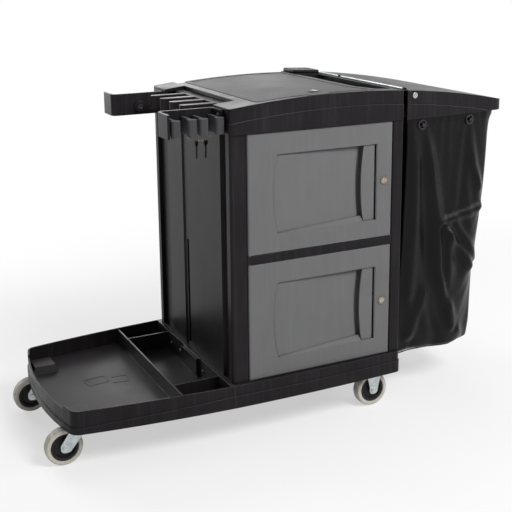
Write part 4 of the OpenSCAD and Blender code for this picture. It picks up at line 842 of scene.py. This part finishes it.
wire = [place(x, KEY_Y, z) for x, z in WIRE_LINE]
add("key_wire", joined("key_wire", [tube(wire, WIRE_R)]), lock_brass)
outline = key_outline()
turns = np.radians(np.linspace(200, 560, len(outline) + 1)[:-1])
blade, blade_faces = plate(outline, [(HOLE_R * math.sin(a), HOLE_R * math.cos(a)) for a in turns], KEY_T)
keys = [(turned(blade, spin, place(x, KEY_Y, WIRE_Z - KEY_DROP)), blade_faces) for x, spin in KEY_TURNS]
add("door_keys", joined("door_keys", keys), black_steel)
print("keys", len(keys))

# %% [markdown]
# The platform's floor carries two faint squarish outlines from its mould. They are thin ridges that
# stand a little out of the floor.

# %% Mould marks
FLOOR_TOP, MARK_CORNER, MARK_R = 120.1, 0.006, 0.0006
MARKS = ((-291, 20, 0.062, 0.044, 8), (-228, 4, 0.046, 0.040, -6))


def mark(x, y, long, wide, spin):
    """A low ridge along a rectangle with round corners, on the platform's floor."""
    ring = []
    for sx, sy, start in ((1, 1, 0), (-1, 1, 90), (-1, -1, 180), (1, -1, 270)):
        cx, cy = sx * (long / 2 - MARK_CORNER), sy * (wide / 2 - MARK_CORNER)
        for a in np.radians(np.linspace(start, start + 90, 5)):
            ring.append(Vector((cx + MARK_CORNER * math.cos(a), cy + MARK_CORNER * math.sin(a), 0)))
    return tube(turned(ring, spin, place(x, y, FLOOR_TOP)), MARK_R, True, 6)


add("mould_marks", joined("mould_marks", [mark(*row) for row in MARKS]), black_plastic)
print("marks", len(MARKS))

# %% [markdown]
# The floor is plain and pale. The camera sees it almost white, and so do mirrored rays, while near the
# cart it still keeps the cart's shadow: there the white is mixed with a matt floor that takes light.

# %% Floor
FLOOR_GREY, WHITE = (0.86, 0.86, 0.86, 1), (1, 1, 1, 1)
FLOOR_HALF, WHITE_SHARE, FADE = 40, 0.55, (0.9, 2.4)


def background_rays(s):
    """1 for rays that show the background: straight to the camera, mirrored, or through clear things."""
    kinds = ("Is Camera Ray", "Is Glossy Ray", "Is Transmission Ray")
    seen, mirrored, through = (s.node("ShaderNodeLightPath", out=kind) for kind in kinds)
    return (seen + mirrored + through).clamped()


def floor_finish():
    material = bpy.data.materials.new("floor")
    material.use_nodes = True
    s = Sock(material.node_tree)
    material.node_tree.nodes.clear()
    away = s.node("ShaderNodeVectorMath", {"operation": "LENGTH"}, {0: surface_place(s)}, "Value")
    share = background_rays(s) * (WHITE_SHARE + away.between(*FADE) * (1 - WHITE_SHARE))
    matt = s.node("ShaderNodeBsdfDiffuse", None, {"Color": FLOOR_GREY})
    glow = s.node("ShaderNodeEmission", None, {"Color": WHITE, "Strength": 1.0})
    mixed = s.node("ShaderNodeMixShader", None, {0: share, 1: matt, 2: glow})
    s.node("ShaderNodeOutputMaterial", None, {"Surface": mixed}, None)
    return material


floor_mesh = bpy.data.meshes.new("floor")
floor_corners = [(FLOOR_HALF * x, FLOOR_HALF * y, 0) for x, y in ((-1, -1), (1, -1), (1, 1), (-1, 1))]
floor_mesh.from_pydata(floor_corners, [], [(0, 1, 2, 3)])
floor = bpy.data.objects.new("floor", floor_mesh)
scene.collection.objects.link(floor)
floor.data.materials.append(floor_finish())
print("floor", 2 * FLOOR_HALF, "m wide")

# %% [markdown]
# Black plastic and cloth are lit best by large soft lamps. A broad one high in front, towards the bag,
# gives the doors their even grey. A weak one reaches the platform's end, one at the bag's side keeps the
# bag readable, one hangs above, two stand behind so that the rear panel's ribs read as well, and a
# pale sky fills the rest.

# %% Light
# Place, the point it is aimed at, diameter and power.
LAMPS = {
    "key": ((0.9, -2.8, 3.2), (0, 0, 0.9), 1.7, 128),
    "top": ((0.2, 0.8, 3.2), (0, 0, 0.6), 2.2, 20),
    "left": ((-2.6, -2.2, 1.4), (-0.2, 0, 0.5), 1.6, 9),
    "rear": ((-1.5, 3.4, 1.6), (-0.1, 0, 0.5), 2.2, 70),
    "side": ((2.7, -1.7, 1.9), (0.3, 0, 0.5), 1.2, 26),
    "back": ((1.2, 3.6, 1.25), (-0.2, 0, 0.4), 1.7, 22),
}
SKY_FILL = 0.16
for name, (at, aim, size, power) in LAMPS.items():
    light = bpy.data.objects.new(name, bpy.data.lights.new(name, "AREA"))
    light.data.shape, light.data.size, light.data.energy = "DISK", size, power
    light.location = at
    light.rotation_euler = (Vector(aim) - Vector(at)).to_track_quat("-Z", "Y").to_euler()
    scene.collection.objects.link(light)
world = bpy.data.worlds.new("studio")
scene.world = world
world.use_nodes = True
sky = Sock(world.node_tree)
world.node_tree.nodes.clear()
fill = SKY_FILL + background_rays(sky) * (1 - SKY_FILL)
studio = sky.node("ShaderNodeBackground", None, {"Color": WHITE, "Strength": fill})
sky.node("ShaderNodeOutputWorld", None, {"Surface": studio}, None)
print("lamps", list(LAMPS))
